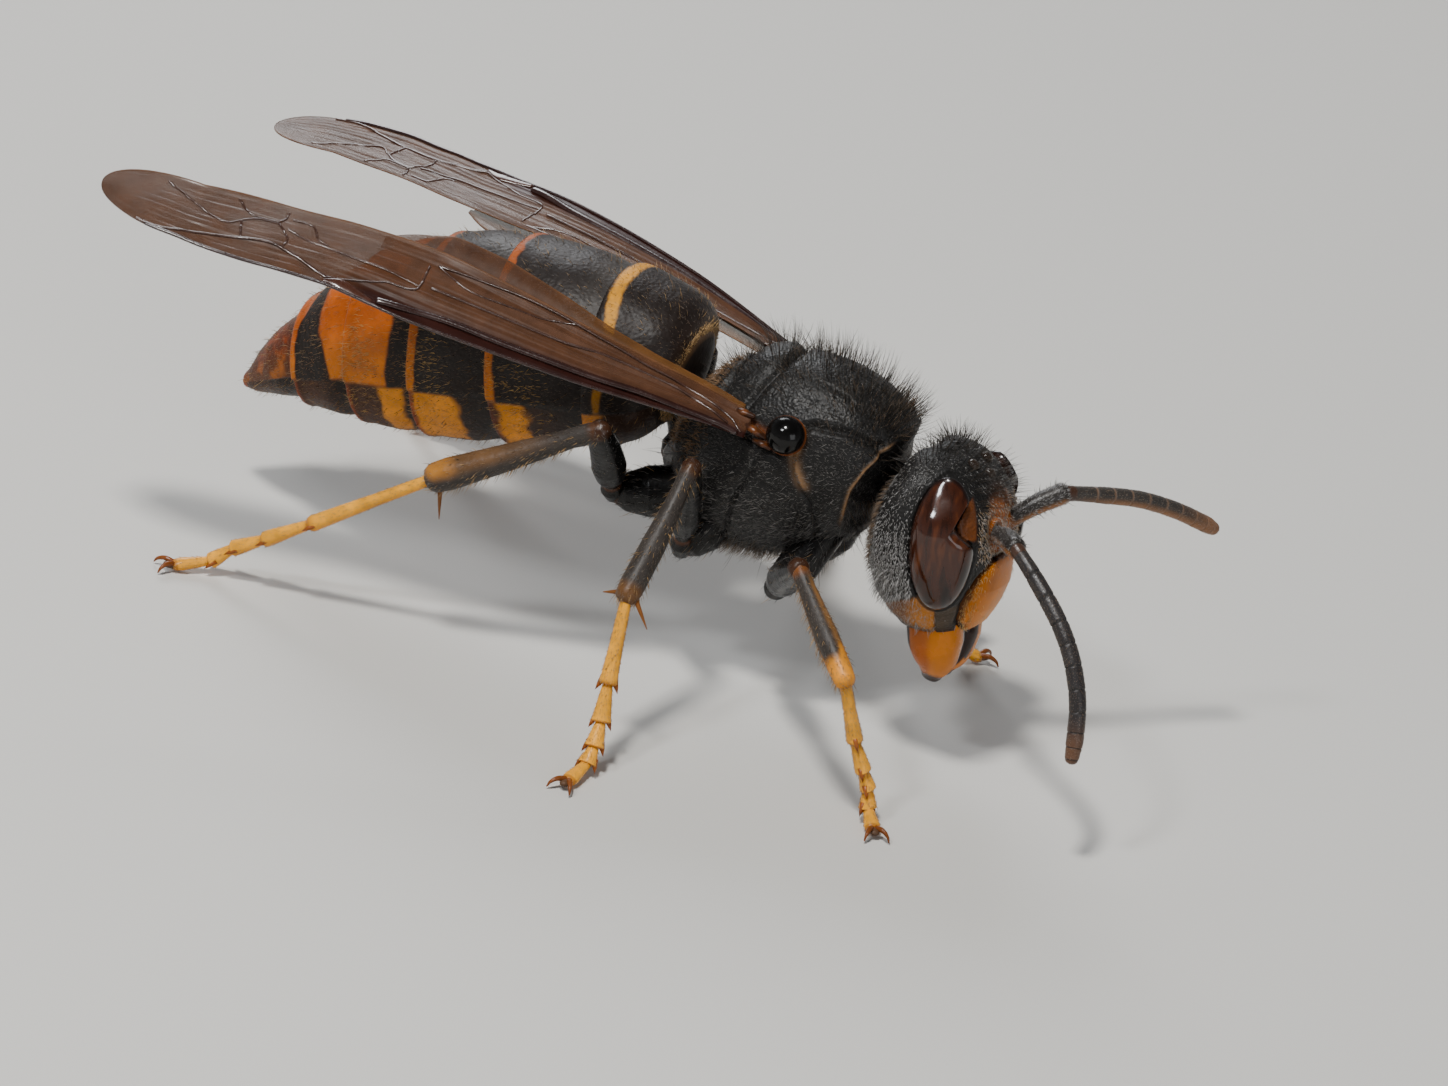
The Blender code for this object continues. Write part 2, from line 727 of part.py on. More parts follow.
def flagellum_beads():
    """Shares of the feeler's length and half widths: a waist at each joint, the first piece long."""
    whole = FLAGELLUM_FIRST + FLAGELLUM_JOINTS - 1
    shares = [0.0]
    radii = [FLAGELLUM_RADIUS * FLAGELLUM_WAIST]
    start = 0.0
    for joint in range(FLAGELLUM_JOINTS):
        length = (FLAGELLUM_FIRST if joint == 0 else 1.0) / whole
        last = joint == FLAGELLUM_JOINTS - 1
        shares += [start + length * 0.25, start + length * 0.8, min(1.0, start + length)]
        radii += [FLAGELLUM_RADIUS, FLAGELLUM_RADIUS, FLAGELLUM_RADIUS * (0.8 if last else FLAGELLUM_WAIST)]
        start += length
    return shares, radii


def make_antenna(side):
    """A scape from its socket in the face, and a beaded flagellum from the scape's end."""
    path = SCAPE_PATH[side]
    start = Vector(path[0])
    points = [start + (start - Vector(path[1])) * 0.4] + [Vector(point) for point in path]
    scape = tube("scape_" + side, points, SCAPE_RADII, ends=(False, True))
    clear_of(scape, [whole_head("head_room", GAP)])
    start = Vector(FLAGELLUM_PATH[side][0])
    lead = start + (start - Vector(FLAGELLUM_PATH[side][1])).normalized() * 0.4
    shares, radii = flagellum_beads()
    line = [spline_share(FLAGELLUM_PATH[side], share) for share in shares]
    flagellum = tube(
        "flagellum_" + side, [lead] + line, [radii[0]] + radii, sides=8, ends=(False, True)
    )
    clear_of(flagellum, [tube("scape_room", points, SCAPE_RADII, grow=GAP, ends=(False, True))])


def make_tegula(side, mirror):
    """A glossy dome over the root of the wing."""
    centre = (TEGULA_CENTRE[0], TEGULA_CENTRE[1] * mirror, TEGULA_CENTRE[2])
    dome = ball("tegula_" + side, centre, TEGULA_RADII)
    clear_of(dome, [whole_thorax("thorax_room", GAP)])


def wing_frame(side, station):
    """Centre, across and up directions of a wing at a station from its root."""
    wing = WINGS[side]
    root = Vector(wing["root"])
    along = (Vector(wing["tip"]) - root).normalized()
    share = max(0.0, station) / FOREWING_LENGTH
    mirror = -1 if side == "right" else 1
    out = Vector((0, mirror, 0))
    out = (out - along * out.dot(along)).normalized()
    up = along.cross(out) * -mirror
    tilt = math.radians(wing["tilt"][0] + (wing["tilt"][1] - wing["tilt"][0]) * share ** 0.5)
    across = out * math.cos(tilt) - up * math.sin(tilt)
    normal = up * math.cos(tilt) + out * math.sin(tilt)
    bow = up * wing["arch"] * 4 * share * (1 - share)
    return root + along * station + bow, across, normal


def wing_sheet(name, side, rows):
    """A closed sheet through rows of (station, [(across, rise), ...]), split alike on both faces."""
    upper = []
    lower = []
    for station, columns in rows:
        centre, across, normal = wing_frame(side, station)
        for reach, rise in columns:
            place = centre + across * reach
            upper.append(place + normal * (WING_THICKNESS / 2 + rise * VEIN_RISE))
            lower.append(place - normal * (WING_THICKNESS / 2 + rise * VEIN_SINK))
    wide = len(rows[0][1])
    base = len(upper)
    faces = []
    for row in range(len(rows) - 1):
        for column in range(wide - 1):
            a = row * wide + column
            b = a + 1
            c = a + wide
            d = c + 1
            faces += [(a, b, d), (a, d, c), (base + a, base + d, base + b), (base + a, base + c, base + d)]
    for row in range(len(rows) - 1):
        for edge in (0, wide - 1):
            a = row * wide + edge
            c = a + wide
            faces.append((a, c, base + c, base + a))
    for end in (0, len(rows) - 1):
        for column in range(wide - 1):
            a = end * wide + column
            faces.append((a, a + 1, base + a + 1, base + a))
    return mesh_object(name, upper + lower, faces)


def forewing_columns(station):
    """Shares of the forewing's width and how far each is raised, with its two main veins and rim."""
    radius = row_at_station(RADIUS_VEIN, station)[1]
    median = row_at_station(MEDIAN_VEIN, station)[1]
    joined = any(abs(station - place) < 0.01 and both for place, both in CROSS_VEINS)
    inward = any(abs(station - place) < 0.01 and not both for place, both in CROSS_VEINS)
    stigma = 1.0 if STIGMA[0] <= station <= STIGMA[1] else 0.0
    between = 1.0 if joined else 0.0
    inside = 1.0 if inward else 0.0
    return (
        (0.0, inside),
        (median - VEIN_SHARE, inside),
        (median, 1.0),
        (median + VEIN_SHARE, between),
        (radius - VEIN_SHARE, between),
        (radius, 1.0),
        (radius + VEIN_SHARE, stigma),
        (1.0, 1.0),
    )


def wing_stations(first, last):
    """Stations along a wing, even but for three close ones at each cross vein."""
    count = round((last - first) / WING_STEP)
    crossed = [place for place, _ in CROSS_VEINS if first < place < last]
    stations = [first + (last - first) * index / count for index in range(count + 1)]
    stations = [s for s in stations if all(abs(s - place) > 2 * VEIN_HALF for place in crossed)]
    for place in crossed:
        stations += [place - VEIN_HALF, place, place + VEIN_HALF]
    return sorted(stations)


def make_wings(side):
    """A folded forewing, and a hind wing that lies along its inner edge."""
    last = HINDWING_ROWS[-1][0]

    def fore_row(station):
        _, inner, outer = row_at_station(WING_ROWS, station)
        if station < last:
            inner += row_at_station(HINDWING_ROWS, station)[1] + GAP
        elif station < last + 1.0:
            inner += (HINDWING_ROWS[-1][1] + GAP) * (last + 1.0 - station)
        return station, [(inner + (outer - inner) * share, rise) for share, rise in forewing_columns(station)]

    def hind_row(station):
        inner = row_at_station(WING_ROWS, station)[1]
        width = row_at_station(HINDWING_ROWS, station)[1]
        columns = ((0.0, 0.0), (0.3, 0.0), (0.5, 1.0), (0.7, 0.0), (1.0, 0.0))
        return station, [(inner + width * share, rise) for share, rise in columns]

    rows = [fore_row(station) for station in wing_stations(-0.6, FOREWING_LENGTH)]
    forewing = wing_sheet("forewing_" + side, side, rows)
    clear_of(forewing, [whole_thorax("thorax_room", GAP)])
    count = 10
    rows = [hind_row(-0.4 + (last + 0.4) * index / count) for index in range(count + 1)]
    hindwing = wing_sheet("hindwing_" + side, side, rows)
    clear_of(hindwing, [whole_thorax("thorax_room", GAP)])


def claw(name, start, direction, turn):
    """One hooked claw beside the foot's pad."""
    ahead = Matrix.Rotation(math.radians(turn), 4, "Z") @ direction
    points = [start + ahead * CLAW_LENGTH * share + Vector((0, 0, rise)) for share, rise, _ in CLAW_HOOK]
    return tube(name, points, [half for _, _, half in CLAW_HOOK], sides=6, ends=(False, False))


def spur(ankle, down, out, length, turn):
    """A tapered spur that leaves the end of a tibia beside the foot."""
    lean = Matrix.Rotation(math.radians(turn), 4, out)
    ahead = lean @ down
    side = ahead.cross(out).normalized() * (SPUR_RADIUS if turn > 0 else -SPUR_RADIUS)
    start = ankle - down * 0.10 - side
    points = (start, start + ahead * length * 0.5, start + ahead * length)
    return tube("spur", points, (SPUR_RADIUS, SPUR_RADIUS * 0.7, 0.04), sides=6, ends=(False, False))


def make_leg(leg):
    """Coxa, femur, tibia and tarsus, each cut clear of the one before it."""
    kind = leg.split("_")[0]
    hip, trochanter, knee, ankle = [Vector(point) for point in LEGS[leg]["path"]]
    joints = [Vector(point) for point in LEGS[leg]["tarsus"]]
    toe = Vector(LEGS[leg]["toe"])

    def coxa(name, grow=0.0):
        wide = COXA_RADII[kind]
        return tube(name, (hip, trochanter), wide, grow=grow, ends=(False, True))

    def femur(name, grow=0.0):
        radii = FEMUR_RADII[kind]
        middle = trochanter.lerp(knee, 0.35)
        return tube(name, (trochanter, middle, knee), radii, grow=grow)

    def tibia(name, grow=0.0):
        radii = TIBIA_RADII[kind]
        return tube(name, (knee, knee.lerp(ankle, 0.6), ankle), radii, grow=grow)

    clear_of(coxa("coxa_" + leg), [whole_thorax("thorax_room", GAP)])
    clear_of(femur("femur_" + leg), [coxa("coxa_room", GAP)])
    shin = tibia("tibia_" + leg)
    down = (joints[0] - ankle).normalized()
    out = down.cross(ankle - knee).normalized()
    combine(shin, [spur(ankle, down, out, length, turn) for length, turn in SPURS[kind]], "UNION")
    clear_of(shin, [femur("femur_room", GAP)])
    points = [ankle]
    radii = [TARSUS_RADII[0]]
    for index, joint in enumerate(joints):
        before = points[-1] if index == 0 else joints[index - 1]
        points.append(joint.lerp(before, 0.06))
        radii.append(TARSUS_RADII[1])
        points.append(joint.lerp(toe if index == 3 else joints[index + 1], 0.06))
        radii.append(TARSUS_RADII[0])
    points.append(toe)
    radii.append(TARSUS_RADII[1])
    foot = tube("tarsus_" + leg, points, radii, sides=8)
    ahead = Vector((toe.x - joints[-1].x, toe.y - joints[-1].y, 0)).normalized()
    claws = [claw("claw", toe, ahead, turn) for turn in (-CLAW_SPREAD, CLAW_SPREAD)]
    combine(foot, claws, "UNION")
    under = block("floor_room", (-30, -30, -5), (30, 30, FLOOR))
    clear_of(foot, [tibia("tibia_room", GAP), under])


def finish(name, colour, roughness, metallic=0.0):
    """A plain finish for one node."""
    material = bpy.data.materials.new(name)
    material.use_nodes = True
    shader = material.node_tree.nodes["Principled BSDF"]
    shader.inputs["Base Color"].default_value = (*colour, 1)
    shader.inputs["Roughness"].default_value = roughness
    shader.inputs["Metallic"].default_value = metallic
    return material


def colour_of(name):
    """Colour and roughness of a node, by the start of its name."""
    finishes = {
        "eye": (EYE_BROWN, 0.15),
        "clypeus": (ORANGE, 0.35),
        "mandible": (ORANGE, 0.30),
        "tegula": (CUTICLE_BLACK, 0.15),
        "forewing": (WING_BROWN, 0.30),
        "hindwing": (WING_BROWN, 0.30),
        "tibia": (LEG_GREY, 0.45),
        "tarsus": (TARSUS_YELLOW, 0.45),
        "abdomen_4": (ORANGE, 0.35),
        "abdomen_5": (ORANGE, 0.35),
        "abdomen_6": (ORANGE, 0.40),
        "abdomen": (BAND_BROWN, 0.40),
    }
    for start, look in finishes.items():
        if name.startswith(start):
            return look
    return CUTICLE_BLACK, 0.55


def settle(pieces):
    """Scale the finished meshes to metres and set them over the middle of the model."""
    corners = [vertex.co for piece in pieces for vertex in piece.data.vertices]
    middle_x = (min(corner.x for corner in corners) + max(corner.x for corner in corners)) / 2
    middle_y = (min(corner.y for corner in corners) + max(corner.y for corner in corners)) / 2
    move = Matrix.Translation((-middle_x, -middle_y, 0))
    for piece in pieces:
        piece.data.transform(Matrix.Scale(MM, 4) @ move)
        colour, roughness = colour_of(piece.name)
        piece.data.materials.clear()
        piece.data.materials.append(finish(piece.name, colour, roughness))
        piece.data.shade_smooth()
        piece.data.set_sharp_from_angle(angle=math.radians(40))


def main():
    """Build every node of the hornet."""
    for old in list(bpy.data.objects):
        bpy.data.objects.remove(old)
    make_thorax()
    make_gaster()
    make_head()
    for side, mirror in (("right", -1), ("left", 1)):
        make_antenna(side)
        make_tegula(side, mirror)
        make_wings(side)
    for leg in LEGS:
        make_leg(leg)
    settle(list(bpy.context.scene.collection.objects))


main()
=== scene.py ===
"""The asian hornet as a finished model: skins, eyes, wings, hair and their finishes over the solids.

Shapes are worked out in millimetres in the insect's own frame: X runs to the head, Y to its left
and Z up from the floor. They are then set over the solids, whose front collar fixes the place.
"""
import math

import bpy
import numpy as np
from mathutils import Matrix, Vector


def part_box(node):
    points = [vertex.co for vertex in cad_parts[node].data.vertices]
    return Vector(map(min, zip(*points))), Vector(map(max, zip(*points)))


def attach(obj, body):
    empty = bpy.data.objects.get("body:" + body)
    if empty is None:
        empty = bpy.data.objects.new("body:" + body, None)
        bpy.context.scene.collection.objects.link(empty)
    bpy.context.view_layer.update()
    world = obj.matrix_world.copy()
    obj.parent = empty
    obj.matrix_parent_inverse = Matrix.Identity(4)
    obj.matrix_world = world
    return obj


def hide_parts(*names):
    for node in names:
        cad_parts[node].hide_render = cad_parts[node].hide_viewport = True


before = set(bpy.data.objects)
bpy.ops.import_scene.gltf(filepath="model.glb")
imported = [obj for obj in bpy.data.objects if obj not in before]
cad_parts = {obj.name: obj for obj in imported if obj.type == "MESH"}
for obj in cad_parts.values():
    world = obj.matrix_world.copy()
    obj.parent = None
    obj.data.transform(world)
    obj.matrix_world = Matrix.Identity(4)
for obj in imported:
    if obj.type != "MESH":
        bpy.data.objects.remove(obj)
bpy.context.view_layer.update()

MM = 0.001
# Size of one hair's patch on the unwrap of its skin
PATCH = 0.003
END_RINGS = 4
WAVES = 5

# Place along, top, bottom and half width of each section of the thorax
THORAX_ROWS = (
    (3.55, 8.85, 7.30, 1.05),
    (3.25, 9.35, 6.50, 1.65),
    (2.80, 9.70, 5.75, 2.08),
    (2.10, 10.05, 5.05, 2.38),
    (1.20, 10.25, 4.50, 2.48),
    (0.30, 10.28, 4.20, 2.50),
    (-0.60, 10.15, 4.00, 2.45),
    (-1.50, 9.75, 4.00, 2.35),
    (-2.20, 9.15, 4.50, 2.15),
    (-2.75, 8.35, 5.30, 1.75),
    (-3.10, 7.60, 6.10, 1.00),
)
THORAX_POWER = 2.2
THORAX_TAPER = (0.16, 0.06)

low_corner, high_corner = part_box("pronotum")
collar_middle = (low_corner.y + high_corner.y) / 2
SHIFT = np.array((high_corner.x / MM - THORAX_ROWS[0][0], collar_middle / MM, 0.0))


# Numbers

def smooth(low, high, value):
    """A soft step from 0 at low to 1 at high, also downward."""
    share = np.clip((np.asarray(value, float) - low) / (high - low), 0.0, 1.0)
    return share * share * (3 - 2 * share)


def bump(value, centre, half):
    """A soft hill of height 1."""
    return np.exp(-(((np.asarray(value, float) - centre) / half) ** 2))


def mix(first, second, share):
    """Colours or points between two, by a share for each point."""
    share = np.asarray(share, float)[..., None]
    return np.asarray(first, float) * (1 - share) + np.asarray(second, float) * share


def unit(vectors):
    """Vectors of length 1."""
    return vectors / np.maximum(np.linalg.norm(vectors, axis=-1, keepdims=True), 1e-9)


def catmull(rows, places):
    """Smooth rows between rows of numbers, where each place counts rows."""
    rows = np.asarray(rows, float)
    places = np.clip(np.asarray(places, float), 0, len(rows) - 1)
    span = np.clip(places.astype(int), 0, len(rows) - 2)
    part = (places - span)[..., None]
    first = rows[span]
    last = rows[span + 1]
    before = np.where((span > 0)[..., None], rows[np.maximum(span - 1, 0)], 2 * first - last)
    follows = (span + 2 < len(rows))[..., None]
    after = np.where(follows, rows[np.minimum(span + 2, len(rows) - 1)], 2 * last - first)
    pull_in = (last - before) / 2
    pull_out = (after - first) / 2
    square = part * part
    cube = square * part
    return (
        first * (2 * cube - 3 * square + 1)
        + pull_in * (cube - 2 * square + part)
        + last * (3 * square - 2 * cube)
        + pull_out * (cube - square)
    )


def by_station(rows, stations):
    """Straight steps between rows whose first number is the station."""
    rows = np.asarray(rows, float)
    order = np.argsort(rows[:, 0])
    rows = rows[order]
    return [np.interp(stations, rows[:, 0], rows[:, column]) for column in range(1, rows.shape[1])]


def rounded(turn, power):
    """Cosine and sine of turns on a circle swollen towards a square."""
    cosine = np.cos(turn)
    sine = np.sin(turn)
    return (
        np.sign(cosine) * np.abs(cosine) ** (2 / power),
        np.sign(sine) * np.abs(sine) ** (2 / power),
    )


def line_distance(across, up, line):
    """Distance of points from a line of straight spans, in a plane."""
    across = np.asarray(across, float)
    up = np.asarray(up, float)
    nearest = np.full(across.shape, 1e9)
    for (a0, b0), (a1, b1) in zip(line[:-1], line[1:]):
        along = (a1 - a0, b1 - b0)
        square = along[0] ** 2 + along[1] ** 2
        share = np.clip(((across - a0) * along[0] + (up - b0) * along[1]) / square, 0, 1)
        gap = np.hypot(across - a0 - share * along[0], up - b0 - share * along[1])
        nearest = np.minimum(nearest, gap)
    return nearest


def waviness(points, size, seed, octaves=3):
    """A smooth random field from -1 to 1 over points, with features of about the given size."""
    draw = np.random.default_rng(seed)
    total = np.zeros(points.shape[:-1])
    weight = 1.0
    for octave in range(octaves):
        for _ in range(WAVES):
            direction = unit(draw.normal(size=3)) * 2 * math.pi / (size / 2**octave)
            total += weight * np.sin(points @ direction + draw.uniform(0, 2 * math.pi))
        weight *= 0.5
    return np.clip(total / WAVES, -1, 1)


def handed(points, mirror):
    """Points of the left side, or mirrored to the right with a mirror of -1."""
    return np.asarray(points) * np.array((1.0, mirror, 1.0))


def turned(points, axis, degrees, pivot=(0.0, 0.0, 0.0)):
    """Points turned about an axis letter through a pivot."""
    matrix = np.array(Matrix.Rotation(math.radians(degrees), 3, axis))
    pivot = np.asarray(pivot, float)
    return (points - pivot) @ matrix.T + pivot


# Grids of points, and pieces made of them

def surface_normals(grid, closed=True):
    """Outward directions of a grid of rows around an axis."""
    along = np.gradient(grid, axis=0)
    if closed:
        around = (np.roll(grid, -1, axis=1) - np.roll(grid, 1, axis=1)) / 2
    else:
        around = np.gradient(grid, axis=1)
    normals = unit(np.cross(around, along))
    if closed:
        outward = grid - grid.mean(axis=1, keepdims=True)
        if (normals * outward).sum() < 0:
            normals = -normals
    return normals


class Shape:
    """Points, faces and colours of one piece, gathered before its mesh is made."""

    def __init__(self):
        self.points = []
        self.tints = []
        self.quads = []
        self.tris = []
        self.count = 0

    def add(self, points, quads, tris, tints):
        points = np.asarray(points, float).reshape(-1, 3)
        tints = np.broadcast_to(np.asarray(tints, float), (len(points), 4))
        self.points.append(points)
        self.tints.append(tints)
        self.quads.append(np.asarray(quads, int).reshape(-1, 4) + self.count)
        self.tris.append(np.asarray(tris, int).reshape(-1, 3) + self.count)
        self.count += len(points)

    def loft(self, grid, tints):
        """A closed body through rings of points, with its two ends drawn to a point."""
        rows, sides = grid.shape[:2]
        tints = np.broadcast_to(np.asarray(tints, float), (rows, sides, 4))
        poles = np.stack([grid[0].mean(axis=0), grid[-1].mean(axis=0)])
        pole_tints = np.stack([tints[0].mean(axis=0), tints[-1].mean(axis=0)])
        points = np.concatenate([grid.reshape(-1, 3), poles])
        colours = np.concatenate([tints.reshape(-1, 4), pole_tints])
        row, side = np.meshgrid(np.arange(rows - 1), np.arange(sides), indexing="ij")
        after = (side + 1) % sides
        near = row * sides
        far = near + sides
        quads = np.stack([near + side, near + after, far + after, far + side], -1).reshape(-1, 4)
        ring = np.arange(sides)
        follow = (ring + 1) % sides
        first = np.stack([np.full(sides, rows * sides), follow, ring], -1)
        base = (rows - 1) * sides
        last = np.stack([np.full(sides, rows * sides + 1), base + ring, base + follow], -1)
        tris = np.concatenate([first, last])
        quads, tris = face_outward(points, quads, tris)
        self.add(points, quads, tris, colours)

    def sheet(self, front, back, tints):
        """A closed sheet between two grids of points that share their rows and columns."""
        rows, columns = front.shape[:2]
        tints = np.broadcast_to(np.asarray(tints, float), (rows, columns, 4))
        points = np.concatenate([front.reshape(-1, 3), back.reshape(-1, 3)])
        colours = np.concatenate([tints.reshape(-1, 4)] * 2)
        row, column = np.meshgrid(np.arange(rows - 1), np.arange(columns - 1), indexing="ij")
        corner = (row * columns + column).reshape(-1)
        face = np.stack([corner, corner + 1, corner + columns + 1, corner + columns], -1)
        other = face[:, ::-1] + rows * columns
        rim = np.concatenate(
            [
                np.arange(columns),
                np.arange(1, rows) * columns + columns - 1,
                (rows - 1) * columns + np.arange(columns - 2, -1, -1),
                np.arange(rows - 2, 0, -1) * columns,
            ]
        )
        follow = np.roll(rim, -1)
        edge = np.stack([follow, rim, rim + rows * columns, follow + rows * columns], -1)
        quads = np.concatenate([face, other, edge])
        quads, tris = face_outward(points, quads, np.zeros((0, 3), int))
        self.add(points, quads, tris, colours)

    def spikes(self, roots, directions, lengths, widths, tints, sides=5):
        """Pointed closed cones, all in one go."""
        roots = np.atleast_2d(roots)
        directions = unit(np.atleast_2d(directions))
        count = len(roots)
        lengths = np.broadcast_to(lengths, count)[:, None]
        widths = np.broadcast_to(widths, count)[:, None]
        side, up = cross_frame(directions)
        turn = np.linspace(0, 2 * math.pi, sides, endpoint=False)
        ring = side[:, None] * np.cos(turn)[:, None] + up[:, None] * np.sin(turn)[:, None]
        base = roots[:, None] + ring * widths[:, None]
        middle = roots[:, None] + ring * widths[:, None] * 0.6 + (directions * lengths * 0.55)[:, None]
        tip = (roots + directions * lengths)[:, None]
        points = np.concatenate([base, middle, tip], axis=1)
        per = 2 * sides + 1
        start = (np.arange(count) * per)[:, None]
        one = np.arange(sides)
        two = (one + 1) % sides
        quads = np.stack([one, two, two + sides, one + sides], -1)[None] + start[..., None]
        tips = np.stack([one + sides, two + sides, np.full(sides, 2 * sides)], -1)[None] + start[..., None]
        foot = np.stack([np.zeros(sides - 2, int), one[2:], one[1:-1]], -1)[None] + start[..., None]
        tris = np.concatenate([tips.reshape(-1, 3), foot.reshape(-1, 3)])
        tints = np.broadcast_to(np.asarray(tints, float), (count, 4))
        self.add(points.reshape(-1, 3), quads.reshape(-1, 4), tris, np.repeat(tints, per, axis=0))

    def gathered(self):
        points = np.concatenate(self.points)
        tints = np.concatenate(self.tints)
        quads = np.concatenate(self.quads)
        tris = np.concatenate(self.tris)
        return points, tints, quads, tris


def cross_frame(directions):
    """Two directions across each given one."""
    upright = np.abs(directions[:, 2:3]) >= 0.9
    helper = np.where(upright, np.array((1.0, 0.0, 0.0)), np.array((0.0, 0.0, 1.0)))
    side = unit(np.cross(directions, helper))
    return side, np.cross(directions, side)


def face_outward(points, quads, tris):
    """Faces in the order that makes the volume they close positive."""
    halves = np.concatenate([quads[:, [0, 1, 2]], quads[:, [0, 2, 3]], tris])
    a, b, c = (points[halves[:, corner]] for corner in range(3))
    if (a * np.cross(b, c)).sum() < 0:
        return quads[:, ::-1], tris[:, ::-1]
    return quads, tris


def make_piece(name, shape, material, nodes=(), uvs=None):
    """The mesh of a shape, set over the solids, riding on the body."""
    points, tints, quads, tris = shape.gathered()
    mesh = bpy.data.meshes.new(name)
    mesh.vertices.add(len(points))
    mesh.vertices.foreach_set("co", ((points + SHIFT) * MM).astype(np.float32).ravel())
    corners = np.concatenate([quads.ravel(), tris.ravel()]).astype(np.int32)
    starts = np.concatenate([np.arange(len(quads)) * 4, len(quads) * 4 + np.arange(len(tris)) * 3])
    mesh.loops.add(len(corners))
    mesh.loops.foreach_set("vertex_index", corners)
    mesh.polygons.add(len(starts))
    mesh.polygons.foreach_set("loop_start", starts.astype(np.int32))
    mesh.update(calc_edges=True)
    if uvs is not None:
        layer = mesh.uv_layers.new(name="OFBake")
        layer.data.foreach_set("uv", uvs[corners].astype(np.float32).ravel())
    colours = mesh.attributes.new(name="tint", type="FLOAT_COLOR", domain="POINT")
    colours.data.foreach_set("color", tints.astype(np.float32).ravel())
    mesh.shade_smooth()
    mesh.materials.append(material)
    piece = bpy.data.objects.new(name, mesh)
    bpy.context.scene.collection.objects.link(piece)
    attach(piece, "root")
    if nodes:
        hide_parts(*nodes)
    return piece


def lofted_piece(name, grid, tints, material, nodes=()):
    """One lofted body as a piece of its own."""
    shape = Shape()
    shape.loft(grid, tints)
    return make_piece(name, shape, material, nodes)


def tube_grid(path, rows, sides=24, count=60, lie=(0.0, 0.0, 1.0), power=2.0, round_ends=(True, True)):
    """Rings along a smooth path; rows give (share, half width, half height), or (share, radius)."""
    steps = np.linspace(0, 1, count)
    centres = catmull(path, steps * (len(path) - 1))
    wide, *flat = by_station(rows, steps)
    high = flat[0] if flat else wide
    along = unit(np.gradient(centres, axis=0))
    side = unit(np.cross(along, np.broadcast_to(lie, along.shape)))
    up = np.cross(side, along)
    turn = np.linspace(0, 2 * math.pi, sides, endpoint=False)
    cosine, sine = rounded(turn, power)
    rings = (
        centres[:, None]
        + side[:, None] * (wide[:, None] * cosine)[..., None]
        + up[:, None] * (high[:, None] * sine)[..., None]
    )
    parts = [rings]
    dome = np.linspace(0, math.pi / 2, END_RINGS + 2)[1:-1]
    if round_ends[0]:
        parts.insert(0, end_rings(rings[0], centres[0], -along[0] * (wide[0] + high[0]) / 2, dome)[::-1])
    if round_ends[1]:
        parts.append(end_rings(rings[-1], centres[-1], along[-1] * (wide[-1] + high[-1]) / 2, dome))
    return np.concatenate(parts)


def end_rings(ring, centre, reach, dome):
    """Rings that close the end of a tube with a round cap."""
    return np.stack([centre + (ring - centre) * math.cos(a) + reach * math.sin(a) * 0.8 for a in dome])


def painted(colour, roughness):
    """A colour with its roughness, as one tint."""
    return np.array((*colour, roughness))


def over(tint, colour, roughness, share):
    """A tint with one more paint laid over it, by a share for each point."""
    return mix(tint, painted(colour, roughness), share)


# Hair

HAIR_ROUGHNESS = 0.45


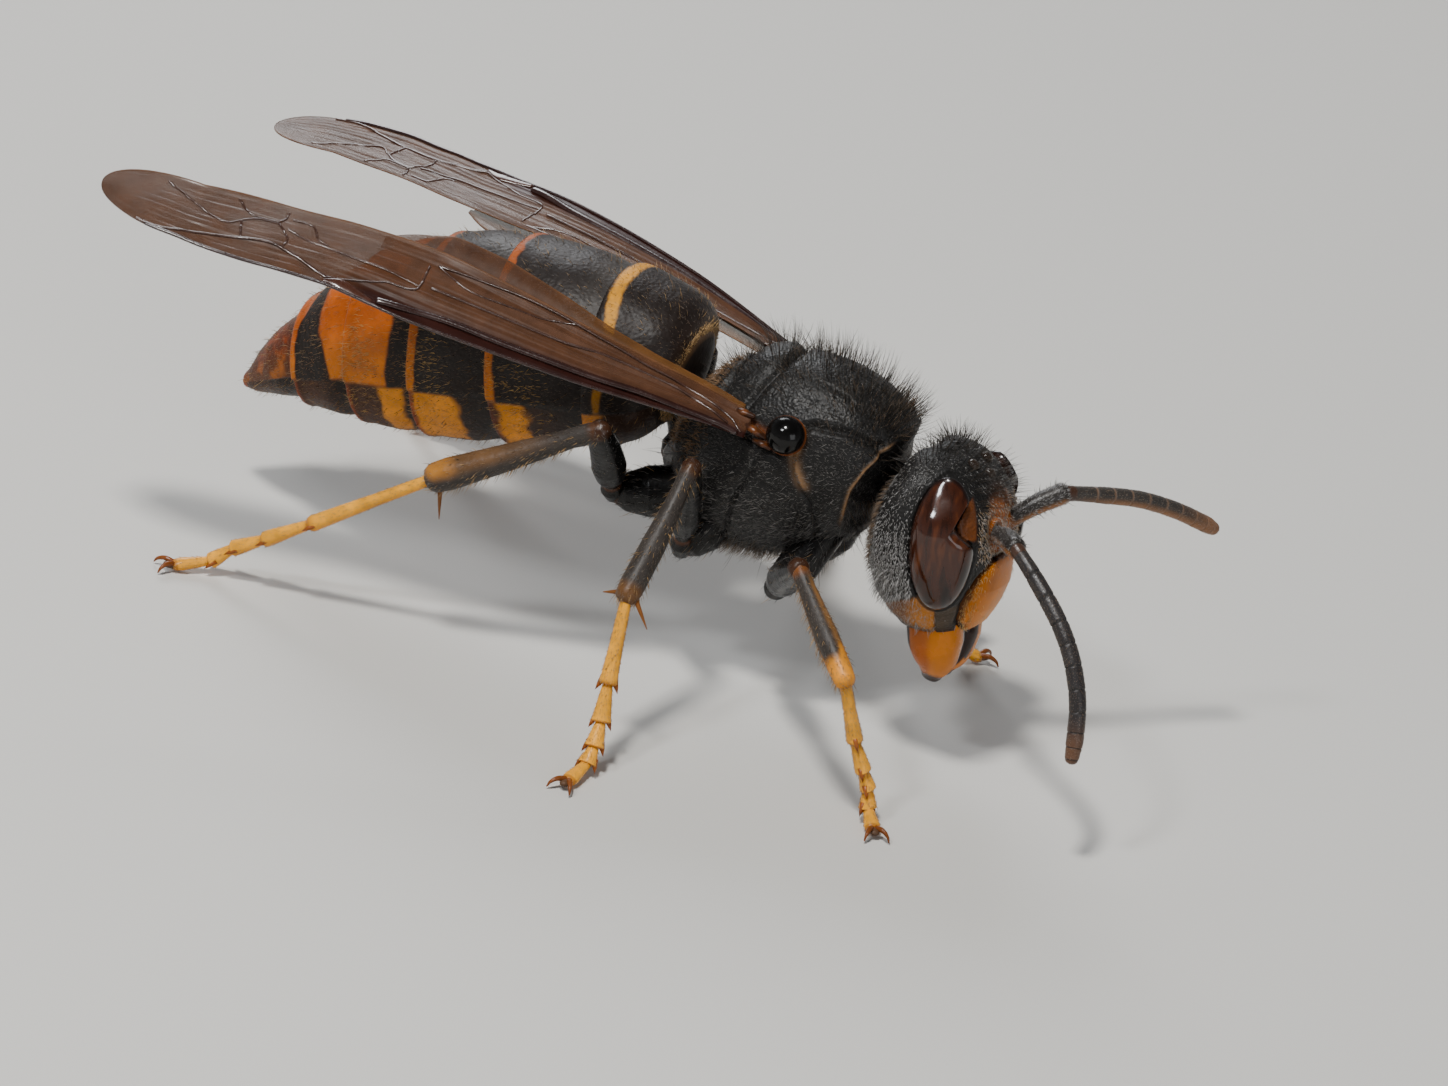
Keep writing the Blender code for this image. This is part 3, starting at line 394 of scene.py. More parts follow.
class Coat:
    """Hairs gathered for one coat piece, with the place of each root on its skin's unwrap."""

    def __init__(self, seed):
        self.draw = np.random.default_rng(seed)
        self.shape = Shape()
        self.uvs = []

    def scatter(self, grid, normals, count, weight, span=(0.0, 1.0)):
        """Random roots on a grid, with their normals, directions along and around, and unwrap."""
        rows, sides = grid.shape[:2]
        closed = np.concatenate([grid, grid[:, :1]], axis=1)
        across = np.concatenate([normals, normals[:, :1]], axis=1)
        weights = np.concatenate([weight, weight[:, :1]], axis=1)
        down = closed[1:, :-1] - closed[:-1, :-1]
        around = closed[:-1, 1:] - closed[:-1, :-1]
        area = np.linalg.norm(np.cross(down, around), axis=-1)
        chance = area * np.maximum(weights[:-1, :-1], 0)
        chance = chance.ravel() / chance.sum()
        cell = self.draw.choice(len(chance), size=count, p=chance)
        row, side = np.divmod(cell, sides)
        fall = self.draw.uniform(size=count)
        slide = self.draw.uniform(size=count)

        def between(values):
            a = values[row, side]
            b = values[row, side + 1]
            c = values[row + 1, side]
            d = values[row + 1, side + 1]
            f = fall[:, None]
            s = slide[:, None]
            return (a * (1 - s) + b * s) * (1 - f) + (c * (1 - s) + d * s) * f

        roots = between(closed)
        outward = unit(between(across))
        along = unit(down[row, side] + 1e-9)
        sideways = unit(around[row, side] + 1e-9)
        place = (row + fall) / (rows - 1)
        unwrap = np.stack([(side + slide) / sides, span[0] + (span[1] - span[0]) * place], -1)
        return roots, outward, along, sideways, unwrap

    def hairs(self, roots, outward, lie, lengths, width, tints, unwrap, stand=0.3, bend=0.5, joints=1):
        """Tapered three-sided hairs that leave their roots standing and bend over to their lie."""
        count = len(roots)
        stand = np.broadcast_to(stand, count)[:, None]
        lengths = np.broadcast_to(lengths, count)[:, None]
        start = unit(outward * stand + lie * (1 - stand))
        low = stand * (1 - bend)
        end = unit(outward * low + lie * (1 - low))
        side, up = cross_frame(start)
        spin = self.draw.uniform(0, 2 * math.pi, count)[:, None]
        turn = np.array((0, 2 * math.pi / 3, 4 * math.pi / 3))
        angle = spin + turn
        ring = side[:, None] * np.cos(angle)[..., None] + up[:, None] * np.sin(angle)[..., None]
        widths = np.broadcast_to(width, count)[:, None, None]
        place = roots - outward * widths[:, 0]
        rings = []
        for joint in range(joints):
            share = joint / joints
            rings.append(place[:, None] + ring * widths * (1 - share) ** 0.6)
            heading = unit(start * (1 - (share + 0.5 / joints)) + end * (share + 0.5 / joints))
            place = place + heading * lengths / joints
        points = np.concatenate([*rings, place[:, None]], axis=1)
        per = 3 * joints + 1
        base = (np.arange(count) * per)[:, None, None]
        one = np.arange(3)
        two = (one + 1) % 3
        quads = [np.stack([one, two, two + 3, one + 3], -1) + 3 * joint for joint in range(joints - 1)]
        last = 3 * (joints - 1)
        tips = np.stack([one + last, two + last, np.full(3, per - 1)], -1)
        foot = np.array([[0, 2, 1]])
        quads = (np.concatenate(quads)[None] + base).reshape(-1, 4) if quads else np.zeros((0, 4), int)
        tris = (np.concatenate([tips, foot])[None] + base).reshape(-1, 3)
        tints = np.broadcast_to(np.asarray(tints, float), (count, 4))
        self.shape.add(points.reshape(-1, 3), quads, tris, np.repeat(tints, per, axis=0))
        spread = PATCH / 2
        corner = np.concatenate([np.tile([[-spread], [0], [spread]], (joints, 1)), [[0.0]]])
        rise = np.concatenate([np.repeat(np.linspace(-spread, 0, joints), 3), [spread]])[:, None]
        patch = np.concatenate([corner, rise], axis=1)
        self.uvs.append((unwrap[:, None] + patch[None]).reshape(-1, 2))

    def lay(
        self,
        skin,
        count,
        weight,
        length,
        width,
        colours,
        stand,
        bend,
        joints=1,
        ruffle=0.4,
        span=(0.0, 1.0),
        comb=0.0,
    ):
        """Hairs strewn over a skin by weight, combed along its rows with some ruffle."""
        grid, normals = skin
        roots, outward, along, sideways, unwrap = self.scatter(grid, normals, count, weight, span)
        wander = self.draw.normal(comb, ruffle, (count, 1))
        lie = unit(along * np.cos(wander) + sideways * np.sin(wander))
        lengths = length * self.draw.uniform(0.55, 1.25, count)
        share = self.draw.uniform(size=count)
        tints = over(painted(colours[0], HAIR_ROUGHNESS), colours[1], HAIR_ROUGHNESS, share)
        self.hairs(roots, outward, lie, lengths, width, tints, unwrap, stand, bend, joints)

    def done(self, name):
        make_piece(name, self.shape, HAIR_SKIN, uvs=np.concatenate(self.uvs))


# Finishes

DUST_COLOUR = (0.36, 0.34, 0.31, 1)
DETAIL_INPUTS = (
    ("Tint", "NodeSocketColor", (0.5, 0.5, 0.5, 1)),
    ("Shine", "NodeSocketFloat", 0.4),
    ("Pit Scale", "NodeSocketFloat", 9000.0),
    ("Mottle", "NodeSocketFloat", 0.2),
    ("Dust", "NodeSocketFloat", 0.0),
)
DETAIL_OUTPUTS = (
    ("Color", "NodeSocketColor"),
    ("Roughness", "NodeSocketFloat"),
    ("Height", "NodeSocketFloat"),
)


def add_node(tree, kind, values=None, **settings):
    """A node with its settings, and the values of its own sockets by name or number."""
    node = tree.nodes.new(kind)
    for setting, value in settings.items():
        setattr(node, setting, value)
    for socket, value in (values or {}).items():
        node.inputs[socket].default_value = value
    return node


def cuticle_detail_group():
    """Fine pits and mottling of hard skin, from its painted tint."""
    group = bpy.data.node_groups.new("cuticle_detail", "ShaderNodeTree")
    for name, kind, value in DETAIL_INPUTS:
        socket = group.interface.new_socket(name=name, in_out="INPUT", socket_type=kind)
        socket.default_value = value
    for name, kind in DETAIL_OUTPUTS:
        group.interface.new_socket(name=name, in_out="OUTPUT", socket_type=kind)
    inputs = add_node(group, "NodeGroupInput").outputs
    outputs = add_node(group, "NodeGroupOutput").inputs
    place = add_node(group, "ShaderNodeTexCoord").outputs["Object"]
    pits = add_node(group, "ShaderNodeTexVoronoi", {"Smoothness": 0.6}, feature="SMOOTH_F1")
    clouds = add_node(group, "ShaderNodeTexNoise", {"Scale": 1400.0, "Detail": 5.0, "Roughness": 0.62})
    grain = add_node(group, "ShaderNodeTexNoise", {"Scale": 16000.0, "Detail": 2.0})
    span = {"From Min": 0.3, "From Max": 0.7, "To Min": -1.0, "To Max": 1.0}
    shade = add_node(group, "ShaderNodeMapRange", span)
    amount = add_node(group, "ShaderNodeMath", {2: 1.0}, operation="MULTIPLY_ADD")
    toned = add_node(group, "ShaderNodeVectorMath", operation="SCALE")
    dusty = add_node(group, "ShaderNodeMath", operation="MULTIPLY")
    coloured = add_node(group, "ShaderNodeMix", data_type="RGBA")
    coloured.inputs[7].default_value = DUST_COLOUR
    rough = add_node(group, "ShaderNodeMath", {1: 0.06}, operation="MULTIPLY_ADD")
    height = add_node(group, "ShaderNodeMath", {1: 0.35}, operation="MULTIPLY_ADD")
    link = group.links.new
    for texture in (pits, clouds, grain):
        link(place, texture.inputs["Vector"])
    link(inputs["Pit Scale"], pits.inputs["Scale"])
    link(clouds.outputs["Fac"], shade.inputs["Value"])
    link(shade.outputs["Result"], amount.inputs[0])
    link(inputs["Mottle"], amount.inputs[1])
    link(inputs["Tint"], toned.inputs[0])
    link(amount.outputs[0], toned.inputs["Scale"])
    link(grain.outputs["Fac"], dusty.inputs[0])
    link(inputs["Dust"], dusty.inputs[1])
    link(dusty.outputs[0], coloured.inputs[0])
    link(toned.outputs[0], coloured.inputs[6])
    link(coloured.outputs[2], outputs["Color"])
    link(shade.outputs["Result"], rough.inputs[0])
    link(inputs["Shine"], rough.inputs[2])
    link(rough.outputs[0], outputs["Roughness"])
    link(grain.outputs["Fac"], height.inputs[0])
    link(pits.outputs["Distance"], height.inputs[2])
    link(height.outputs[0], outputs["Height"])
    return group


CUTICLE_DETAIL = cuticle_detail_group()


def finish(name, pit_scale=9000.0, depth=0.00002, mottle=0.2, dust=0.0, strength=0.5, **constant):
    """A material of hard skin that takes colour and roughness from the piece's paint."""
    material = bpy.data.materials.new(name)
    material.use_nodes = True
    tree = material.node_tree
    shader = tree.nodes["Principled BSDF"]
    paint = add_node(tree, "ShaderNodeAttribute", attribute_name="tint")
    values = {"Pit Scale": pit_scale, "Mottle": mottle, "Dust": dust}
    detail = add_node(tree, "ShaderNodeGroup", values, node_tree=CUTICLE_DETAIL)
    relief = add_node(tree, "ShaderNodeBump", {"Distance": depth, "Strength": strength})
    link = tree.links.new
    link(paint.outputs["Color"], detail.inputs["Tint"])
    link(paint.outputs["Alpha"], detail.inputs["Shine"])
    link(detail.outputs["Color"], shader.inputs["Base Color"])
    link(detail.outputs["Roughness"], shader.inputs["Roughness"])
    link(detail.outputs["Height"], relief.inputs["Height"])
    link(relief.outputs["Normal"], shader.inputs["Normal"])
    for socket, value in constant.items():
        shader.inputs[socket.replace("_", " ")].default_value = value
    return material


def wing_finish(name, **constant):
    """Smoky see-through membrane whose paint carries its own veil, finely creased."""
    material = finish(name, 3200.0, 0.00002, 0.25, 0.0, 0.25, **constant)
    tree = material.node_tree
    shader = tree.nodes["Principled BSDF"]
    paint = next(node for node in tree.nodes if node.type == "ATTRIBUTE")
    detail = next(node for node in tree.nodes if node.type == "GROUP")
    for link in list(tree.links):
        if link.to_socket in (detail.inputs["Shine"], shader.inputs["Roughness"]):
            tree.links.remove(link)
    tree.links.new(paint.outputs["Alpha"], shader.inputs["Alpha"])
    return material


# Pit scale, depth in metres, mottle, dust and strength of each finish, then its constant sockets
BLACK_SKIN = finish("black_pitted_cuticle", 11000.0, 0.00003, 0.30, 0.03, 0.7, Specular_IOR_Level=0.22)
GLOSSY_SKIN = finish("polished_cuticle", 7000.0, 0.000008, 0.16, 0.0, 0.4, Specular_IOR_Level=0.26)
BANDED_SKIN = finish("banded_cuticle", 8000.0, 0.00002, 0.28, 0.02, 0.6, Specular_IOR_Level=0.20)
FACE_SKIN = finish("face_cuticle", 7000.0, 0.000008, 0.24, 0.0, 0.4, Specular_IOR_Level=0.12)
LEG_SKIN = finish("leg_cuticle", 8000.0, 0.000015, 0.24, 0.02, 0.5, Specular_IOR_Level=0.22)
FEELER_SKIN = finish(
    "feeler_cuticle", 14000.0, 0.000012, 0.22, 0.02, 0.5, Specular_IOR_Level=0.35, Sheen_Weight=0.02
)
EYE_SKIN = finish(
    "eye_lens",
    22000.0,
    0.000002,
    0.10,
    0.0,
    0.3,
    Coat_Weight=0.6,
    Coat_Roughness=0.06,
    Specular_IOR_Level=0.2,
)
HAIR_SKIN = finish("hair", 9000.0, 0.000001, 0.12, 0.0, 0.1, Specular_IOR_Level=0.6)
VEIN_SKIN = finish("wing_vein", 9000.0, 0.000008, 0.22, 0.0, 0.5, Coat_Weight=0.5, Coat_Roughness=0.15)
WING_SKIN = wing_finish(
    "wing_membrane", Roughness=0.38, Coat_Weight=0.14, Coat_Roughness=0.15, Specular_IOR_Level=0.10
)

BLACK = (0.0050, 0.0047, 0.0046)
# Deepest black: the wing cap's and the neck's own colour, and painted shade in seams, creases and hollows
DEEP = (0.0030, 0.0027, 0.0025)
LEG_BLACK = (0.0040, 0.0036, 0.0034)
BROWN_BLACK = (0.0095, 0.0052, 0.0038)
SOOT = (0.015, 0.012, 0.010)
ORANGE = (0.40, 0.078, 0.0020)
DEEP_ORANGE = (0.25, 0.040, 0.0022)
BAND_ORANGE = (0.29, 0.058, 0.0015)
AMBER = (0.50, 0.15, 0.0050)
YELLOW = (0.52, 0.22, 0.0060)
FOOT_YELLOW = (0.78, 0.34, 0.018)
TAN = (0.27, 0.145, 0.062)
RUST = (0.20, 0.055, 0.013)
SILVER = (0.46, 0.45, 0.44)
GREY_HAIR = (0.20, 0.188, 0.175)
DUSK = (0.070, 0.064, 0.058)
GOLD_HAIR = (0.50, 0.30, 0.12)
BRIGHT_HAIR = (0.75, 0.48, 0.16)
FRINGE_HAIR = (0.62, 0.40, 0.18)
FLANK_HAIR = (0.66, 0.40, 0.12)
ORANGE_HAIR = (0.42, 0.17, 0.04)
BROWN_HAIR = (0.17, 0.105, 0.055)
DARK_HAIR = (0.050, 0.038, 0.026)


# Thorax

# Lines of the side view, as places along the body and levels
SCUTUM_SEAM = ((3.28, 8.62), (3.12, 8.95), (2.25, 9.16), (1.25, 9.09), (0.88, 8.80))
COLLAR_EDGE = ((3.34, 8.95), (3.24, 8.78), (2.98, 8.30), (2.74, 7.63), (2.62, 6.80), (2.45, 6.00))
PALE_STRIP = ((1.00, 8.72), (1.03, 8.48), (1.02, 8.15), (1.20, 7.78), (1.48, 7.45))
PRONOTUM_REAR = (
    (0.95, 8.55),
    (1.00, 8.10),
    (1.10, 7.75),
    (1.38, 7.35),
    (1.75, 6.90),
    (1.95, 6.10),
    (1.80, 4.6),
)
WING_GROOVE = ((0.55, 8.15), (-0.10, 8.25), (-0.80, 8.30), (-1.45, 8.55))
WING_ROOT = ((0.15, 8.45), (-0.75, 8.60))
SIDE_SEAM = ((0.05, 8.10), (-0.12, 7.30), (-0.55, 6.20), (-0.85, 4.60))
SIDE_FURROW = ((1.25, 7.20), (0.60, 7.05), (-0.15, 7.20))
REAR_SEAM = ((-1.35, 12.0), (-1.70, 9.20), (-2.35, 7.40), (-2.30, 2.0))
ALL_LEVELS = (-2.0, -1.0)
# Each groove's or ridge's line, height, distance from the line, half width and levels where it fades in
COLLAR_LINES = (
    (SCUTUM_SEAM, -0.15, 0.0, 0.075, ALL_LEVELS),
    (SCUTUM_SEAM, 0.02, 0.20, 0.12, ALL_LEVELS),
    (PRONOTUM_REAR, -0.10, 0.0, 0.07, (9.0, 8.6)),
    (COLLAR_EDGE, 0.08, 0.0, 0.06, (9.1, 8.8)),
)
FLANK_LINES = (
    (PALE_STRIP, 0.06, 0.0, 0.09, ALL_LEVELS),
    (WING_GROOVE, -0.14, 0.0, 0.12, ALL_LEVELS),
    (SIDE_SEAM, -0.12, 0.0, 0.06, (8.2, 7.8)),
    (SIDE_FURROW, -0.08, 0.0, 0.07, ALL_LEVELS),
    (REAR_SEAM, -0.16, 0.0, 0.09, ALL_LEVELS),
)
SCUTELLUM_FRONT = -0.20
SCUTELLUM_REAR = -1.62
METANOTUM_REAR = -2.00
# Each cross groove's place, depth and half width
BACK_GROOVES = ((SCUTELLUM_FRONT, 0.15, 0.13), (SCUTELLUM_REAR, 0.13, 0.12), (METANOTUM_REAR, 0.09, 0.10))
GROOVE_SWEEP = 0.16


def thorax_grid(rows, sides):
    places = np.linspace(0, len(THORAX_ROWS) - 1, rows)
    place, top, bottom, half = catmull(THORAX_ROWS, places).T
    turn = np.linspace(0, 2 * math.pi, sides, endpoint=False)
    cosine, sine = rounded(turn, THORAX_POWER)
    narrow = 1 - THORAX_TAPER[0] * np.maximum(0, -sine) - THORAX_TAPER[1] * np.maximum(0, sine)
    middle = (top + bottom) / 2
    high = (top - bottom) / 2
    return np.stack(
        np.broadcast_arrays(
            place[:, None],
            half[:, None] * cosine * narrow,
            middle[:, None] + high[:, None] * sine,
        ),
        -1,
    )


def cross_grooves(points):
    """How far forward each point is of the grooves that cross the back, which sweep rearward."""
    return points[..., 0] + GROOVE_SWEEP * points[..., 1] ** 2


def line_relief(x, z, lines):
    """Height of the grooves and ridges along lines of the side view."""
    height = np.zeros(x.shape)
    for line, rise, distance, half, (low, high) in lines:
        height += rise * bump(line_distance(x, z, line), distance, half) * smooth(low, high, z)
    return height


def collar_drop(x, z):
    """How deep the flank is let in ahead of the collar's edge."""
    collar = np.array(COLLAR_EDGE[:0:-1])
    ahead = smooth(0.0, 0.35, x - np.interp(z, collar[:, 1], collar[:, 0]))
    return 0.22 * ahead * smooth(8.95, 8.5, z) * smooth(5.7, 6.4, z)


def thorax_relief(points):
    """Height of the seams, plates and furrows of the thorax, in millimetres."""
    x = points[..., 0]
    wide = np.abs(points[..., 1])
    z = points[..., 2]
    swept = cross_grooves(points)
    height = line_relief(x, z, COLLAR_LINES) - collar_drop(x, z) + line_relief(x, z, FLANK_LINES)
    back = smooth(8.6, 9.2, z)
    for place, depth, half in BACK_GROOVES:
        height -= depth * bump(swept, place, half) * back
    plate = smooth(SCUTELLUM_REAR - 0.05, SCUTELLUM_REAR + 0.6, swept)
    plate = plate * smooth(SCUTELLUM_FRONT + 0.05, SCUTELLUM_FRONT - 0.6, swept)
    height += 0.13 * plate * back * smooth(1.9, 0.6, wide)
    height -= 0.07 * bump(wide, 1.65, 0.18) * plate * back
    scutum = smooth(SCUTELLUM_FRONT, 0.2, swept) * smooth(9.25, 9.5, z)
    height -= 0.035 * bump(wide, 1.02 + 0.05 * x, 0.045) * scutum * smooth(2.6, 1.6, x)
    height -= 0.04 * bump(wide, 0, 0.05) * scutum * smooth(0.8, 1.6, x)
    height -= 0.03 * bump(wide, 1.62, 0.05) * scutum
    return height + 0.012 * waviness(points, 0.8, 3)


def thorax_paint(points):
    """Black cuticle with painted shade in the seams, paler along the strip behind the collar's lobe, the
    collar's edge and the wing root.
    """
    x = points[..., 0]
    z = points[..., 2]
    wide = np.abs(points[..., 1])
    seams = bump(line_distance(x, z, SCUTUM_SEAM), 0, 0.12) + bump(line_distance(x, z, REAR_SEAM), 0, 0.1)
    edge = bump(line_distance(x, z, COLLAR_EDGE), 0, 0.035) * smooth(9.0, 8.8, z) * smooth(6.2, 6.9, z)
    root = bump(line_distance(x, z, WING_ROOT), 0, 0.12) * smooth(1.8, 2.2, wide)
    # Deeper black in the scutum's seam and the rear seam: painted shade in these grooves
    tint = over(painted(BLACK, 0.42), DEEP, 0.6, np.clip(seams, 0, 1) * 0.7)
    tint = over(tint, TAN, 0.5, 0.75 * bump(line_distance(x, z, PALE_STRIP), 0, 0.15))
    tint = over(tint, TAN, 0.5, 0.8 * edge)
    return over(tint, RUST, 0.4, 0.85 * root)


def make_thorax():
    grid = thorax_grid(rows=230, sides=220)
    tints = thorax_paint(grid)
    grid = grid + surface_normals(grid) * thorax_relief(grid)[..., None]
    nodes = ("pronotum", "mesothorax", "propodeum")
    lofted_piece("thorax_skin", grid, tints, BLACK_SKIN, nodes)
    return grid, surface_normals(grid)


def make_neck():
    path = ((2.95, 0.0, 7.25), (3.9, 0.0, 7.2), (5.2, 0.0, 7.1))
    rows = (
        (0.0, 0.95, 1.0),
        (0.2, 0.80, 0.85),
        (0.6, 0.72, 0.75),
        (1.0, 0.70, 0.75),
    )
    grid = tube_grid(path, rows, sides=48, count=60)
    folds = 0.03 * np.sin(grid[..., 0] * 14)
    grid = grid + surface_normals(grid) * folds[..., None]
    lofted_piece("neck_skin", grid, painted(DEEP, 0.5), BLACK_SKIN, ("neck",))


def make_waist():
    path = ((-2.75, 0.0, 6.75), (-3.15, 0.0, 7.1), (-3.6, 0.0, 7.75))
    rows = ((0.0, 0.42, 0.42), (0.5, 0.26, 0.30), (1.0, 0.5, 0.5))
    grid = tube_grid(path, rows, sides=32, count=30)
    lofted_piece("waist_stalk", grid, painted(BROWN_BLACK, 0.4), GLOSSY_SKIN)


# Abdomen

# Top point, low point and half width of each section, from the waist to the tail
GASTER_ROWS = (
    ((-3.15, 9.70), (-3.50, 7.25), 1.30),
    ((-3.35, 10.30), (-3.80, 6.60), 2.00),
    ((-4.10, 10.72), (-4.45, 5.90), 2.45),
    ((-5.90, 10.90), (-5.85, 5.20), 2.72),
    ((-9.10, 10.72), (-8.80, 4.35), 2.80),
    ((-11.45, 9.95), (-11.20, 3.80), 2.60),
    ((-13.60, 8.60), (-13.25, 3.55), 2.18),
    ((-15.35, 6.60), (-15.05, 3.40), 1.52),
    ((-16.40, 4.95), (-16.15, 3.25), 0.80),
    ((-16.90, 3.80), (-16.85, 3.20), 0.28),
)
GASTER_POWER = 2.1
RING_EDGES = (0.0, 3.0, 4.0, 5.0, 6.0, 7.0, 9.0)
LAST_RING = 5
EDGE_LAG = 0.30
OVERLAP = 0.16
BELLY_TURN = -0.30
# Colour and roughness of each ring's band
BANDS = (
    (YELLOW, 0.50),
    (BAND_ORANGE, 0.50),
    (BAND_ORANGE, 0.50),
    (ORANGE, 0.36),
    (ORANGE, 0.36),
    (DEEP_ORANGE, 0.40),
)
# Front, rear and depth of each ring's yellow belly patches
BELLY_PATCHES = (
    (0.9, 1.0, 0.2),
    (0.66, 0.93, 0.62),
    (0.38, 0.95, 0.35),
    (0.13, 0.46, 0.30),
    (0, 0, 0),
    (0, 0, 0),
)
# Shrink and reach of the rings that close the first ring's front and the last ring's tip
FRONT_CLOSING = ((0.92, 0.07), (0.74, 0.16), (0.46, 0.22), (0.20, 0.24))
FRONT_SAG = 0.45
TIP_CLOSING = ((0.8, 0.08), (0.5, 0.14), (0.2, 0.17))


def gaster_points(places, turns):
    """Points of the abdomen at places that count its rows and turns around it."""
    rows = [(*top, *low, half) for top, low, half in GASTER_ROWS]
    top_x, top_z, low_x, low_z, half = np.moveaxis(catmull(rows, places), -1, 0)
    cosine, sine = rounded(turns, GASTER_POWER)
    flat = np.zeros_like(top_x)
    centre = np.stack([(top_x + low_x) / 2, flat, (top_z + low_z) / 2], -1)
    up = np.stack([(top_x - low_x) / 2, flat, (top_z - low_z) / 2], -1)
    wide = np.stack([flat, half, flat], -1)
    return centre + wide * cosine[..., None] + up * sine[..., None]


def edge_lag(turns, place):
    """How far, in rows, the low part of a ring's edge lies ahead of its top."""
    return EDGE_LAG * (1 - np.sin(turns)) / 2 * smooth(0.3, 2.2, place) * smooth(9.0, 7.4, place)


def first_ring_marks(share, worn, sine, low):
    """Paint of the first ring: brown, with a thin yellow band before its edge, darkened lower down by painted
    shade, and a tan seam in front.
    """
    shade = over(painted(*BANDS[0]), AMBER, 0.38, low * 0.2)
    # The band darkens towards its lower side: painted shade
    shade[..., :3] *= (1 - 0.45 * low)[..., None]
    centre = 0.912 + 0.050 * smooth(0.45, 1.0, sine)
    half = 0.027 - 0.004 * smooth(0.3, -0.2, sine)
    tint = over(painted(BROWN_BLACK, 0.46), (0.030, 0.016, 0.010), 0.4, smooth(0.45, 0.1, share))
    tint = mix(tint, shade, smooth(half + 0.008, half - 0.008, np.abs(worn - centre)))
    return over(tint, TAN, 0.45, 0.6 * bump(share, 0.03, 0.05) * smooth(-0.2, 0.5, sine))


def ring_marks(index, share, turns, points):
    """Paint of one ring: share runs from its front edge to its rear edge."""
    sine = np.sin(turns) * np.ones_like(share)
    low = smooth(0.55, -0.25, sine)
    wave = 0.018 * waviness(points, 0.5, 40 + index) + 0.02 * waviness(points, 2.2, 50 + index)
    if index == 0:
        return first_ring_marks(share, share + 0.35 * wave, sine, low)
    worn = share + wave
    dark = painted(BROWN_BLACK, 0.46)
    shade = over(painted(*BANDS[index]), AMBER, 0.38, low * 0.75)
    if index in (1, 2):
        width = (0.915, 0.88)[index - 1]
        # Grey over the front of the ring's upper side: partly a dusting of pale fur, partly a painted sheen
        # where light falls on the top
        front = 0.7 * smooth(0.38, 0.12, worn) * smooth(0.1, 0.6, sine)
        grey = over(dark, (0.042, 0.036, 0.032), 0.44, front)
        return mix(grey, shade, smooth(width - 0.012, width + 0.012, worn))
    if index == 3:
        tint = mix(dark, shade, smooth(0.24, 0.30, worn - 0.06 * low))
        return over(tint, DEEP_ORANGE, 0.36, 0.55 * bump(share, 0.62, 0.16) * smooth(0.2, 0.9, sine))
    if index == 4:
        front = smooth(0.28, 0.22, worn - 0.22 * (1 - low))
        rear = smooth(0.86, 0.90, worn + 0.16 * smooth(0.5, 1.0, sine))
        return mix(dark, shade, np.maximum(front, rear))
    blotch = smooth(-0.1, 0.6, waviness(points, 0.9, 77))
    tint = mix(painted((0.040, 0.010, 0.003), 0.42), shade, 0.15 + 0.60 * blotch)
    return over(tint, DEEP_ORANGE, 0.4, smooth(0.06, 0.0, worn))


def belly_marks(index, share, turns, points, tint):
    """Paint of a ring's belly plate: black with yellow patches to each side."""
    sine = np.sin(turns) * np.ones_like(share)
    wave = 0.05 * waviness(points, 0.9, 60 + index)
    belly = smooth(BELLY_TURN + 0.02, BELLY_TURN - 0.02, sine)
    front, rear, depth = BELLY_PATCHES[index]
    rusty = smooth(0.1, 0.6, share) * (0.35 if index > 2 else 0.15)
    under = over(painted(BROWN_BLACK, 0.4), (0.11, 0.034, 0.008), 0.45, rusty)
    if rear > front:
        worn = share + wave
        patch = smooth(front - 0.04, front + 0.04, worn) * smooth(rear + 0.04, rear - 0.04, worn)
        patch = patch * smooth(0.12, 0.30, np.abs(np.cos(turns)) + wave)
        patch = patch * smooth(-0.98, -0.9 + 0.1 * depth, sine + wave * 0.5)
        under = over(under, (0.56, 0.20, 0.0075), 0.42, patch)
    under = over(under, DEEP_ORANGE, 0.4, 0.8 * smooth(0.9, 0.97, share) * (1.0 if index > 1 else 0.3))
    return mix(tint, under, belly)


def drawn_in(ring, share, offset=(0.0, 0.0, 0.0)):
    """A ring of points shrunk to its middle and moved, as one more row of a grid."""
    middle = ring.mean(axis=0)
    return (middle + (ring - middle) * share + np.array(offset))[None]


def close_ring(index, grid, tints):
    """A ring's grid and tints with the rows that close its front, its rolled rear edge or the tail's tip."""
    # Painted shade: the row tucked inside the rolled rear edge, and the first ring's front face against the
    # waist
    inside = np.broadcast_to(painted(DEEP, 0.6), (1, *tints.shape[1:]))
    shaded = np.broadcast_to(painted((0.010, 0.0055, 0.0040), 0.6), (1, *tints.shape[1:]))
    body = [grid]
    body_tints = [tints]
    if index == LAST_RING:
        for shrink, back in TIP_CLOSING:
            body.append(drawn_in(grid[-1], shrink, (-back, 0.0, -back * 0.6)))
            body_tints.append(tints[-1:])
    else:
        body += [drawn_in(grid[-1], sink) for sink in (0.985, 0.965)]
        body_tints += [tints[-1:]] * 2
        body.append(drawn_in(grid[-14], 0.93))
        body_tints.append(inside)
    if index == 0:
        for shrink, reach in FRONT_CLOSING:
            body.insert(0, drawn_in(grid[0], shrink, (reach, 0.0, -FRONT_SAG * (1 - shrink))))
            body_tints.insert(0, shaded)
    return np.concatenate(body), np.concatenate(body_tints)


